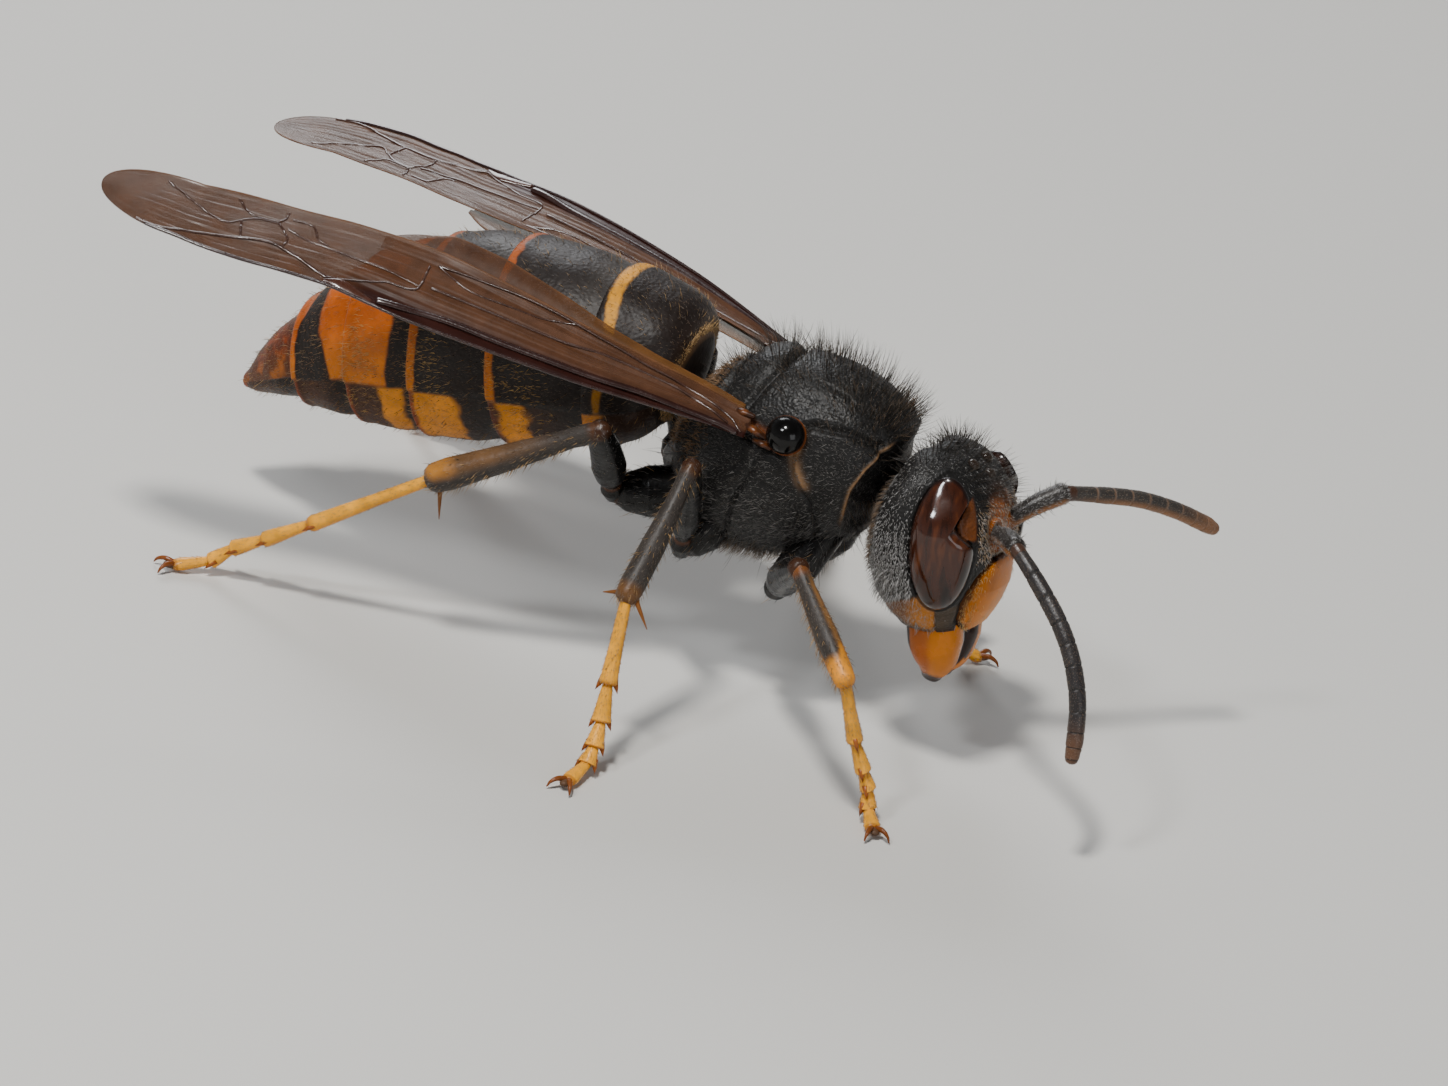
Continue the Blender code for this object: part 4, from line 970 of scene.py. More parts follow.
def make_ring(index, sides=224, rows=110):
    """One ring of the abdomen, let in under the ring ahead, with a rolled rear edge."""
    start = RING_EDGES[index] - (OVERLAP if index else 0)
    end = RING_EDGES[index + 1]
    turns = np.linspace(0, 2 * math.pi, sides, endpoint=False)
    flat = (start + (end - start) * np.linspace(0, 1, rows))[:, None] * np.ones(sides)
    places = np.clip(flat - edge_lag(turns[None], flat), 0, 9)
    grid = gaster_points(places, np.broadcast_to(turns, places.shape))
    normals = surface_normals(grid)
    own = (flat - RING_EDGES[index]) / (end - RING_EDGES[index])
    lift = np.zeros_like(own)
    if index:
        lift -= 0.15 * smooth(0.42, -0.02, own) + 0.05 * smooth(0.02, -0.12, own)
    if index < LAST_RING:
        lift += 0.05 * smooth(0.80, 0.97, own) - 0.035 * smooth(0.975, 1.0, own)
    sine = np.sin(turns)[None] * np.ones_like(own)
    belly = smooth(BELLY_TURN + 0.04, BELLY_TURN - 0.02, sine)
    lift -= 0.10 * belly * smooth(0.5, 1.2, flat) * smooth(8.6, 7.6, flat)
    lift += 0.012 * waviness(grid, 1.6, 30 + index)
    tints = ring_marks(index, own, turns[None], grid)
    tints = belly_marks(index, own, turns[None], grid, tints)
    # Painted shade along the crease where the belly plate meets the side of the ring
    crease_shade = bump(sine, BELLY_TURN + 0.01, 0.022) * smooth(0.3, 1.4, flat)
    tints = over(tints, DEEP, 0.6, 0.75 * crease_shade)
    grid = grid + normals * lift[..., None]
    body, body_tints = close_ring(index, grid, tints)
    name = f"abdomen_ring_{index + 1}"
    lofted_piece(name, body, body_tints, BANDED_SKIN, (f"abdomen_{index + 1}",))
    return grid, surface_normals(grid), own


# Head

# Level, rear, front and half width of each section of the head
HEAD_ROWS = (
    (9.00, 4.25, 5.00, 0.90),
    (8.77, 3.75, 5.65, 1.65),
    (8.25, 3.40, 6.25, 2.22),
    (7.60, 3.10, 6.70, 2.58),
    (6.90, 2.97, 6.92, 2.72),
    (6.20, 3.00, 7.02, 2.70),
    (5.50, 3.20, 7.05, 2.52),
    (4.85, 3.55, 6.95, 2.20),
    (4.30, 4.00, 6.80, 1.80),
    (3.90, 4.50, 6.55, 1.40),
)
HEAD_POWER = 2.5
OCCIPUT_DEPTH = 1.15
OCCIPUT_LEVEL = 6.9
OCCIPUT_REACH = 2.1
HEAD_ROLL = -8.0
HEAD_PIVOT = (0.0, 0.0, 7.10)
EYE_CENTRE = np.array((5.80, 2.24, 6.76))
EYE_HALF_HEIGHT = 1.90
EYE_HALF_LENGTH = 0.92
EYE_BULGE = 0.55
EYE_LEAN = -9.0
EYE_TOE_IN = 14.0
NOTCH_DEPTH = 0.56
NOTCH_TURN = 0.42
NOTCH_BELOW = 0.30
NOTCH_ABOVE = 0.26
CLYPEUS_TOP = 6.40
CLYPEUS_LOW = 4.05
CLYPEUS_HALF = 1.58
CLYPEUS_RAISE = 0.12
CLYPEUS_DEPTH = 0.42
# Height, from -1 at the foot to 1 at the top, and share of the half width there
CLYPEUS_EDGE = (
    (1.0, 0.50),
    (0.95, 0.58),
    (0.62, 0.86),
    (0.25, 0.99),
    (-0.10, 1.0),
    (-0.60, 0.84),
    (-0.9, 0.60),
    (-1.0, 0.36),
)
SOCKET = (6.88, 0.62, 7.15)
OCELLI = ((5.96, 0.0, 8.47), (5.58, -0.55, 8.72), (5.58, 0.55, 8.72))
OCELLUS_RADII = ((0.0, 0.20), (1.0, 0.20))
# Each line of the jaw's cheek in side view, and the places across where it fades in
CHEEK_LINES = (
    (((5.35, 4.78), (5.42, 4.25), (5.50, 3.95)), (1.0, 1.4)),
    (((6.05, 4.72), (6.05, 4.30), (6.00, 3.95)), (0.8, 1.2)),
)
# Reach of the rows of the eye's dome, with the last two let into the head
EYE_ROWS = np.concatenate([np.linspace(0.01, 0.90, 70), np.linspace(0.91, 1.0, 16), (0.985, 0.95)])
EYE_HEM = (0.10, 0.25)


def rolled(points):
    """Points of the head in its own tilt."""
    return turned(points, "X", HEAD_ROLL, HEAD_PIVOT)


def to_eye(points):
    """Length, outward and height of points in the frame of the eye of their own side."""
    mirrored = points * np.array((1.0, 0.0, 1.0)) + np.abs(points) * np.array((0.0, 1.0, 0.0))
    local = turned(mirrored - EYE_CENTRE, "Z", EYE_TOE_IN)
    return turned(local, "Y", -EYE_LEAN)


def from_eye(local, mirror):
    """Points from the frame of the eye back to the unrolled head, for one side."""
    return handed(turned(turned(local, "Y", EYE_LEAN), "Z", -EYE_TOE_IN) + EYE_CENTRE, mirror)


def eye_notch(turn):
    """How far the front outline of the eye is let in at a turn, rounder below than above."""
    half = np.where(turn < NOTCH_TURN, NOTCH_BELOW, NOTCH_ABOVE)
    return NOTCH_DEPTH * np.exp(-((np.abs(turn - NOTCH_TURN) / half) ** 3.6))


def eye_reach(local):
    """Place of points against the kidney outline of the eye: 1 on it, less inside."""
    notch = np.zeros(local.shape[:-1])
    for _ in range(3):
        length = EYE_HALF_LENGTH - notch
        turn = np.arctan2(local[..., 2] / EYE_HALF_HEIGHT, local[..., 0] / length)
        notch = eye_notch(turn)
    return np.hypot(local[..., 0] / (EYE_HALF_LENGTH - notch), local[..., 2] / EYE_HALF_HEIGHT)


def eye_oval(local):
    """Place of points against the plain oval round the eye, without its notch."""
    return np.hypot(local[..., 0] / EYE_HALF_LENGTH, local[..., 2] / EYE_HALF_HEIGHT)


def eye_sink(height):
    """How far the top of the eye's plane is let into the head."""
    return 0.30 * smooth(0.3, 1.9, height)


def head_grid(rows, sides):
    top = np.linspace(math.pi / 2, 0, 7)[1:-1]
    places = np.linspace(0, len(HEAD_ROWS) - 1, rows)
    level, back, front, half = catmull(HEAD_ROWS, places).T
    shrink = np.ones(rows)
    level = np.concatenate([level[0] + 0.10 * np.sin(top), level, level[-1] - 0.16 * np.sin(top[::-1])])
    shrink = np.concatenate([np.cos(top), shrink, np.cos(top[::-1])])
    ends = (len(top), len(top))
    back, front, half = (np.pad(value, ends, mode="edge") for value in (back, front, half))
    turn = np.linspace(0, 2 * math.pi, sides, endpoint=False)
    cosine, sine = rounded(turn, HEAD_POWER)
    middle = ((back + front) / 2)[:, None]
    deep = ((front - back) / 2 * shrink)[:, None]
    near = bump(level, OCCIPUT_LEVEL, OCCIPUT_REACH)[:, None]
    hollow = OCCIPUT_DEPTH * near * np.maximum(-cosine, 0) * np.maximum(0, 1 - sine**2) ** 1.5
    x = middle + deep * cosine + hollow
    y = (half * shrink)[:, None] * sine
    return np.stack(np.broadcast_arrays(x, y, level[:, None]), -1)


def face_front(y, z):
    """How far forward the face reaches at a place across and a level."""
    rows = np.array(HEAD_ROWS)[::-1]
    level = np.clip(z, rows[0, 0], rows[-1, 0])
    back, front, half = (np.interp(level, rows[:, 0], rows[:, column]) for column in (1, 2, 3))
    middle = (back + front) / 2
    deep = (front - back) / 2
    return middle + deep * np.maximum(1 - np.abs(y / half) ** HEAD_POWER, 0.0) ** (1 / HEAD_POWER)


def shield_half(z):
    """Half width of the face shield at a level."""
    share = (z - (CLYPEUS_TOP + CLYPEUS_LOW) / 2) / ((CLYPEUS_TOP - CLYPEUS_LOW) / 2)
    edge = np.array(CLYPEUS_EDGE)[::-1]
    return CLYPEUS_HALF * np.interp(share, edge[:, 0], edge[:, 1])


def shield_mask(points, grow=0.0):
    """1 on the face within the shield's outline, 0 outside."""
    y = np.abs(points[..., 1])
    z = points[..., 2]
    inside = smooth(0.05, -0.05, y - shield_half(z) - grow)
    below = smooth(CLYPEUS_TOP + grow + 0.05, CLYPEUS_TOP + grow - 0.05, z)
    above = smooth(CLYPEUS_LOW - grow - 0.1, CLYPEUS_LOW - grow, z)
    return inside * below * above * smooth(5.6, 6.2, points[..., 0])


def shape_head(grid):
    """Sinks the orbits, sockets and shield into the head and raises the brow."""
    local = to_eye(grid)
    reach = eye_reach(local)
    side = smooth(1.2, 1.7, np.abs(grid[..., 1]))
    level = np.where(reach < 0.97, -0.20, 0.03) - eye_sink(local[..., 2])
    drop = np.maximum(local[..., 1] - level, 0) * smooth(1.62, 1.06, reach)
    rim = 0.05 * bump(reach, 1.05, 0.035) * (reach > 0.99)
    local[..., 1] += (rim - drop) * side
    placed = from_eye(local, 1.0)
    placed[..., 1] *= np.where(grid[..., 1] < 0, -1.0, 1.0)
    grid = mix(grid, placed, side)
    normals = surface_normals(grid)
    y = np.abs(grid[..., 1])
    z = grid[..., 2]
    x = grid[..., 0]
    front = smooth(5.2, 6.1, x)
    lift = 0.14 * bump(y, 0, 0.55) * bump(z, 7.95, 0.45) * front
    socket = np.hypot(y - SOCKET[1], z - SOCKET[2])
    lift -= 0.20 * bump(socket, 0, 0.30) * front
    lift += 0.07 * bump(socket, 0.36, 0.07) * front
    lift -= 0.10 * bump(socket, 0.50, 0.12) * front
    lift -= 0.05 * bump(y, 0, 0.05) * smooth(7.2, 7.5, z) * smooth(8.4, 8.1, z) * front
    lift -= 0.16 * shield_mask(grid, 0.02)
    lift -= 0.10 * (shield_mask(grid, 0.16) - shield_mask(grid, 0.02))
    for line, (near, far) in CHEEK_LINES:
        lift -= 0.05 * bump(line_distance(x, z, line), 0, 0.045) * smooth(near, far, y)
    lift += 0.010 * waviness(grid, 0.7, 5)
    return grid + normals * lift[..., None]


def malar_edge(local):
    """Height over the line at which the orange cheek begins, which falls towards the nape."""
    return local[..., 2] - 0.57 * np.minimum(local[..., 0] + 0.35, 0)


def malar_patch(local, blur):
    """The orange cheek below and behind the eye."""
    lengthwise = smooth(0.0, -0.08, local[..., 0]) * smooth(-1.75, -1.45, local[..., 0])
    return smooth(-1.40, -1.56, malar_edge(local) + blur) * lengthwise


def head_paint(grid):
    """Black crown and cheeks, orange face around the sockets, in the eye's notch and on the jaw's cheek, with
    painted shade round the sockets, the face shield and the eyes.
    """
    local = to_eye(grid)
    behind = local[..., 0]
    height = local[..., 2]
    reach = eye_reach(local)
    whole = eye_oval(local)
    y = np.abs(grid[..., 1])
    z = grid[..., 2]
    blur = 0.05 * waviness(grid, 0.8, 8)
    side = smooth(1.3, 1.7, y)
    malar = malar_patch(local, blur) * side
    rear_darkening = smooth(-0.55, -1.05, behind + blur) * smooth(-1.5, -1.75, height)
    patch = side * smooth(-1.75, -1.88, height) * smooth(-0.06, 0.02, behind) * smooth(0.78, 0.66, behind)
    notch = smooth(1.05, 0.99, whole) * smooth(0.99, 1.03, reach) * smooth(0.08, 0.20, reach - whole) * side
    tint = over(painted(BLACK, 0.45), (0.36, 0.122, 0.002), 0.36, malar)
    # The orange cheek is darker towards its rear and its bottom
    tint = over(tint, (0.075, 0.024, 0.007), 0.4, 0.8 * rear_darkening * malar)
    tint = over(tint, (0.050, 0.034, 0.020), 0.5, patch)
    tint = over(tint, (0.135, 0.038, 0.007), 0.32, notch)
    front = smooth(5.9, 6.3, grid[..., 0])
    socket = np.hypot(y - SOCKET[1] * 0.75, (z - SOCKET[2] - 0.12) * 0.85)
    brow = front * bump(y, 0.0, 0.55) * bump(z, 7.85, 0.42)
    # A ring of painted shade in the hollow round each feeler's socket
    ring = front * bump(np.hypot(y - SOCKET[1], z - SOCKET[2]), 0.20, 0.10)
    # Painted shade in the seam where the eye is let into the head
    rim = bump(reach, 1.03, 0.035) * (1 - notch)
    tint = over(tint, (0.42, 0.115, 0.010), 0.45, 0.92 * front * smooth(0.78, 0.42, socket + blur))
    tint = over(tint, (0.12, 0.040, 0.012), 0.5, 0.6 * brow)
    tint = over(tint, DEEP, 0.5, 0.8 * ring)
    # Painted shade in the groove round the face shield and under its edge
    tint = over(tint, DEEP, 0.5, np.clip(shield_mask(grid, 0.14), 0, 1) * 0.9)
    tint = over(tint, DEEP, 0.35, 0.9 * rim * side)
    return over(tint, (0.05, 0.018, 0.007), 0.5, smooth(3.95, 3.80, z))


def make_head():
    """The head's skin with three small eyes on its crown; gives the skin, rolled and unrolled."""
    plain = head_grid(rows=210, sides=240)
    flat = shape_head(plain)
    grid = rolled(flat)
    shape = Shape()
    shape.loft(grid, head_paint(plain))
    for place in OCELLI:
        path = rolled(np.array((place, np.add(place, (0.02, 0.0, 0.06)))))
        bead = tube_grid(path, OCELLUS_RADII, sides=28, count=4)
        shape.loft(bead, painted((0.020, 0.012, 0.008), 0.10))
    make_piece("head_skin", shape, BLACK_SKIN, ("head",))
    return (grid, surface_normals(grid)), flat


def make_eye(side, mirror):
    """A kidney-shaped dome, glossy dark red-brown with darker upright smudges and painted shade round its
    edge.
    """
    turn = np.linspace(0, 2 * math.pi, 200, endpoint=False)
    reach = EYE_ROWS[:, None]
    sink = np.pad(EYE_HEM, (len(reach) - len(EYE_HEM), 0))[:, None]
    notch = eye_notch(np.where(turn > math.pi, turn - 2 * math.pi, turn))
    length = (EYE_HALF_LENGTH - notch) * np.cos(turn) * reach
    height = EYE_HALF_HEIGHT * np.sin(turn) * reach
    whole = np.hypot(length / EYE_HALF_LENGTH, height / EYE_HALF_HEIGHT)
    dome = EYE_BULGE * np.maximum(1 - np.minimum(whole, 1) ** 3.4, 0) ** 0.55
    dome = dome * np.maximum(1 - np.minimum(reach, 1) ** 7, 0) ** (0.5 * notch / NOTCH_DEPTH)
    rise = dome * (1 - 0.45 * smooth(0.6, 1.8, height)) - sink - eye_sink(height)
    local = np.stack([length, rise, height], -1)
    streaks = waviness(local * np.array((1.6, 1.0, 0.30)), 0.8, 90)
    streaks = streaks + 0.5 * waviness(local * np.array((2.6, 1.0, 0.5)), 0.6, 91)
    tint = painted((0.036, 0.0100, 0.0045), 0.16)
    tint = over(tint, (0.0080, 0.0030, 0.0020), 0.14, smooth(-0.1, 0.9, streaks))
    tint = over(tint, (0.088, 0.024, 0.0070), 0.16, 0.75 * smooth(-0.2, -0.9, streaks))
    # Painted shade round the eye's edge, where it is let into the head
    tint = over(tint, (0.006, 0.0035, 0.003), 0.25, 0.9 * smooth(0.93, 0.985, reach))
    placed = rolled(from_eye(local, mirror))
    lofted_piece(f"eye_lens_{side}", placed, tint, EYE_SKIN, (f"eye_{side}",))


def make_face_shield():
    """The orange shield below the feelers, gently domed, with a dark edge and a painted highlight over its
    middle.
    """
    rows, columns = 90, 100
    z = np.linspace(CLYPEUS_LOW + 0.02, CLYPEUS_TOP - 0.01, rows)
    across = np.linspace(-1, 1, columns)
    level = (z - CLYPEUS_LOW) / (CLYPEUS_TOP - CLYPEUS_LOW)
    lower_notch = 0.10 * smooth(0.10, 0.0, level)[:, None] * bump(across, 0, 0.22)[None]
    half = shield_half(z) * np.clip(smooth(-0.03, 0.10, level) * 0.25 + 0.75, 0, 1)
    half = half * (1 - 0.42 * smooth(0.93, 1.0, level))
    y = half[:, None] * across[None]
    height = z[:, None] + lower_notch
    edge = np.maximum(np.abs(across)[None] ** 7, np.abs(level * 2 - 1)[:, None] ** 12)
    dome = 0.09 * (1 - across**2)[None] * np.sin(np.clip(level, 0, 1) * math.pi)[:, None]
    face = face_front(y, height)
    x = face - 0.05 + (CLYPEUS_RAISE + dome) * np.sqrt(np.maximum(1 - edge, 0))
    front = np.stack(np.broadcast_arrays(x, y, height), -1)
    back = np.stack(np.broadcast_arrays(face - CLYPEUS_DEPTH, y * 0.97, height), -1)
    wave = 0.03 * waviness(front, 0.5, 21)
    # Painted highlight: paler orange over the middle and lower part of the shield
    shield_highlight = smooth(0.1, 0.8, (1 - across**2)[None] * (1 - level[:, None]))
    rim = smooth(0.90, 0.985, np.abs(across)[None] + wave) + smooth(0.955, 0.99, level)[:, None]
    corner = bump(np.abs(across)[None], 0.98, 0.14) * bump(level[:, None], 0.13, 0.05)
    low = smooth(0.05, 0.015, level)[:, None]
    tint = over(painted((0.44, 0.125, 0.0016), 0.34), (0.58, 0.19, 0.0035), 0.34, 0.7 * shield_highlight)
    tint = over(tint, (0.022, 0.008, 0.004), 0.3, np.clip(0.85 * rim + corner + low, 0, 1))
    shape = Shape()
    shape.sheet(rolled(front), rolled(back), tint)
    make_piece("face_shield", shape, FACE_SKIN, ("clypeus",))
    return rolled(front)


MANDIBLE_PATH = ((5.70, 0.78, 4.40), (5.92, 0.71, 3.55), (6.02, 0.54, 2.98), (5.98, 0.36, 2.54))
MANDIBLE_ROWS = ((0.0, 0.84, 0.64), (0.33, 0.79, 0.65), (0.66, 0.60, 0.54), (1.0, 0.32, 0.34))
JAW_GAP = 0.03


def jaw_paint(grid):
    """Orange, with a browner rear half and dark inner, front, rear and lower edges."""
    level = grid[..., 2]
    wave = 0.04 * waviness(grid, 0.6, 31)
    centre = catmull(MANDIBLE_PATH, np.linspace(0, len(MANDIBLE_PATH) - 1, 50))[::-1]
    inward = grid[..., 1] - np.interp(level, centre[:, 2], centre[:, 1])
    ahead = grid[..., 0] - np.interp(level, centre[:, 2], centre[:, 0])
    rear = smooth(0.12, -0.12, ahead + wave)
    tint = over(painted((0.52, 0.155, 0.005), 0.26), (0.34, 0.080, 0.004), 0.28, rear)
    for share in (
        smooth(-0.20, -0.30, inward + wave),
        smooth(0.50, 0.58, ahead + wave) * smooth(-0.04, -0.16, inward),
        smooth(2.66, 2.44, level + wave),
        smooth(-0.58, -0.68, ahead + 0.5 * wave),
    ):
        tint = over(tint, (0.020, 0.0070, 0.0035), 0.20, share)
    return tint


def make_jaw(side, mirror):
    """A broad toothed blade, orange with dark edges and tip."""
    grid = tube_grid(
        MANDIBLE_PATH,
        MANDIBLE_ROWS,
        sides=96,
        count=90,
        lie=(0.0, 1.0, 0.0),
        power=2.6,
        round_ends=(False, True),
    )
    level = grid[..., 2]
    inner = grid[..., 1]
    teeth = 0.06 * np.abs(np.sin((level - 2.3) * 5.2)) * smooth(3.5, 3.1, level)
    limit = JAW_GAP + 0.05 * smooth(3.1, 2.4, level) + teeth
    grid[..., 1] = np.where(inner < limit, limit + (inner - limit) * 0.02, inner)
    placed = rolled(handed(grid, mirror))
    lofted_piece(f"jaw_{side}", placed, jaw_paint(grid), GLOSSY_SKIN, (f"mandible_{side}",))


SCAPE_RADII = ((0.0, 0.24), (0.33, 0.27), (0.66, 0.30), (1.0, 0.31))
SCAPE_PATHS = {
    "right": ((6.75, -0.60, 7.15), (7.25, -1.20, 7.45), (7.85, -2.05, 7.68)),
    "left": ((6.75, 0.60, 7.20), (7.25, 1.00, 7.70), (7.80, 1.50, 8.08)),
}
PIVOT_RADII = ((0.0, 0.17), (0.4, 0.24), (1.0, 0.22))
FLAGELLUM_PATHS = {
    "right": (
        (7.95, -2.15, 7.68),
        (8.75, -2.50, 7.20),
        (9.85, -3.05, 6.45),
        (10.60, -3.50, 5.70),
        (11.15, -3.95, 4.80),
        (11.42, -4.30, 3.90),
        (11.52, -4.50, 3.30),
    ),
    "left": (
        (7.92, 1.62, 8.10),
        (8.70, 2.50, 8.00),
        (9.50, 3.50, 7.80),
        (10.30, 4.50, 7.40),
        (10.95, 5.30, 6.95),
        (11.25, 5.70, 6.70),
    ),
}
FLAGELLUM_RADIUS = 0.245
FLAGELLUM_JOINTS = 10
FIRST_JOINT_LENGTH = 1.6


def make_feeler_base(side):
    """The long first joint, orange below, with the small bead that the whip turns on."""
    path = SCAPE_PATHS[side]
    base = tube_grid(path, SCAPE_RADII, sides=64, count=90)
    along = np.linspace(0, 1, len(base))[:, None]
    under = smooth(0.15, -0.35, surface_normals(base)[..., 2]) * smooth(0.0, 0.1, along)
    strength = 0.95 if side == "right" else 0.8
    tint = over(painted((0.016, 0.013, 0.011), 0.38), (0.30, 0.105, 0.013), 0.36, under * strength)
    tint = over(tint, (0.22, 0.07, 0.010), 0.35, 0.8 * smooth(0.12, 0.03, along))
    shape = Shape()
    shape.loft(base, tint)
    end = np.array(path[-1])
    stalk = np.array(FLAGELLUM_PATHS[side])
    pivot = (end, (end + stalk[0]) / 2, stalk[0] * 0.85 + stalk[1] * 0.15)
    shape.loft(tube_grid(pivot, PIVOT_RADII, sides=48, count=30), painted((0.045, 0.019, 0.010), 0.32))
    make_piece(f"feeler_base_{side}", shape, FEELER_SKIN, (f"scape_{side}",))
    return base


def make_feeler_whip(side, count=330):
    """The ringed whip, browner to its tip; the far one shows its paler underside and rings."""
    shares = np.linspace(0, 1, count)
    covered = shares * (FLAGELLUM_JOINTS + FIRST_JOINT_LENGTH - 1)
    first = np.clip(covered / FIRST_JOINT_LENGTH, 0, 1)
    inside = np.where(covered < FIRST_JOINT_LENGTH, first, (covered - FIRST_JOINT_LENGTH) % 1.0)
    waist = np.maximum(smooth(0.10, 0.0, inside), smooth(0.93, 1.0, inside))
    taper = 1 - 0.14 * smooth(0.25, 0.0, shares) - 0.18 * smooth(0.86, 1.0, shares)
    radius = FLAGELLUM_RADIUS * taper * (1 - 0.08 * waist)
    whip = tube_grid(FLAGELLUM_PATHS[side], np.stack([shares, radius], -1), sides=48, count=count)
    share = np.pad(shares, END_RINGS, mode="edge")[:, None]
    ring = np.pad(waist, END_RINGS)[:, None]
    below = smooth(0.3, -0.5, surface_normals(whip)[..., 2])
    if side == "right":
        tint = over(painted((0.019, 0.016, 0.016), 0.38), (0.034, 0.025, 0.020), 0.42, below)
        tint = over(tint, (0.115, 0.050, 0.022), 0.42, 0.85 * smooth(0.72, 0.95, share))
        tint = over(tint, (0.005, 0.004, 0.004), 0.75, 0.95 * ring)
    else:
        pale = below * smooth(-0.05, 0.35, share)
        tint = over(painted((0.028, 0.024, 0.021), 0.45), (0.22, 0.090, 0.026), 0.42, pale)
        tint = over(tint, (0.20, 0.085, 0.032), 0.42, 0.8 * smooth(0.55, 0.97, share))
        tint = over(tint, (0.17, 0.095, 0.055), 0.5, 0.7 * ring)
    lofted_piece(f"feeler_{side}", whip, tint, FEELER_SKIN, (f"flagellum_{side}",))
    return whip


TEGULA_CENTRE = (0.65, 2.40, 8.72)
TEGULA_RADII = (0.57, 0.50, 0.54)
TEGULA_TILT = 28.0
# Start, end and radius of each knob behind the wing's root
WING_KNOBS = (
    ((0.05, 2.42, 8.45), (-0.62, 2.42, 8.62), 0.17),
    ((0.30, 2.50, 8.22), (-0.20, 2.48, 8.28), 0.13),
    ((-0.45, 2.25, 8.86), (-1.25, 2.10, 8.80), 0.15),
)
KNOB_ROWS = ((0.0, 0.5, 0.5), (0.4, 1.0, 0.7), (1.0, 0.6, 0.5))


def make_wing_cap(side, mirror):
    """The glossy black scale over the wing's root, with a rusty rim and brown knobs behind it."""
    turn = np.linspace(0, 2 * math.pi, 72, endpoint=False)[None]
    rise = np.linspace(0.06, math.pi - 0.06, 44)[:, None]
    local = np.broadcast_arrays(np.sin(rise) * np.cos(turn), np.cos(rise), np.sin(rise) * np.sin(turn))
    lip = bump(rise, math.pi / 2 + 0.10, 0.13)
    swell = (1 + 0.07 * lip)[..., None]
    grid = np.array(TEGULA_CENTRE) + np.stack(local, -1) * np.array(TEGULA_RADII) * swell
    grid = turned(grid, "X", TEGULA_TILT, TEGULA_CENTRE)
    shape = Shape()
    shape.loft(handed(grid, mirror), over(painted(DEEP, 0.14), RUST, 0.25, np.clip(lip * 1.1, 0, 1)))
    for start, end, radius in WING_KNOBS:
        start = handed(start, mirror)
        end = handed(end, mirror)
        path = (start, (start + end) / 2 + np.array((0.0, 0.05 * mirror, 0.05)), end)
        rows = [(share, radius * wide, radius * high) for share, wide, high in KNOB_ROWS]
        bead = tube_grid(path, rows, sides=28, count=26)
        brown = smooth(-0.4, 0.6, waviness(bead, 0.5, 17))
        shape.loft(bead, over(painted((0.030, 0.011, 0.005), 0.3), (0.12, 0.036, 0.008), 0.3, brown))
    make_piece(f"wing_cap_{side}", shape, GLOSSY_SKIN, (f"tegula_{side}",))


# Wings

# Station, reach of the folded edge and reach of the front edge
WING_ROWS = (
    (0.0, -0.50, 0.35),
    (1.10, -0.64, 0.45),
    (3.20, -0.76, 0.75),
    (4.80, -0.90, 0.98),
    (6.20, -1.10, 1.10),
    (8.10, -1.35, 1.22),
    (10.0, -1.56, 1.27),
    (12.4, -1.48, 1.12),
    (14.0, -1.28, 1.20),
    (15.9, -1.13, 1.33),
    (17.8, -0.82, 1.15),
    (19.0, -0.45, 0.72),
    (19.6, -0.05, 0.20),
)
# Station and width of the hind wing
HINDWING_ROWS = (
    (0.30, 0.25),
    (1.2, 0.30),
    (3.2, 0.40),
    (4.8, 0.55),
    (6.2, 0.75),
    (8.1, 0.95),
    (9.8, 0.90),
    (11.0, 0.55),
    (11.6, 0.25),
)
FOREWING_LENGTH = 19.6
# Root, tip, tilt at the root and tip, and height of the arch
WINGS = {
    "right": ((-0.45, -2.55, 8.60), (-19.20, -6.80, 11.15), (32.0, 20.0), 0.35),
    "left": ((-0.45, 2.55, 8.65), (-19.40, 5.50, 9.05), (12.0, -10.0), 1.00),
}
MEMBRANE = 0.035
WING_ROUND_FROM = 16.9
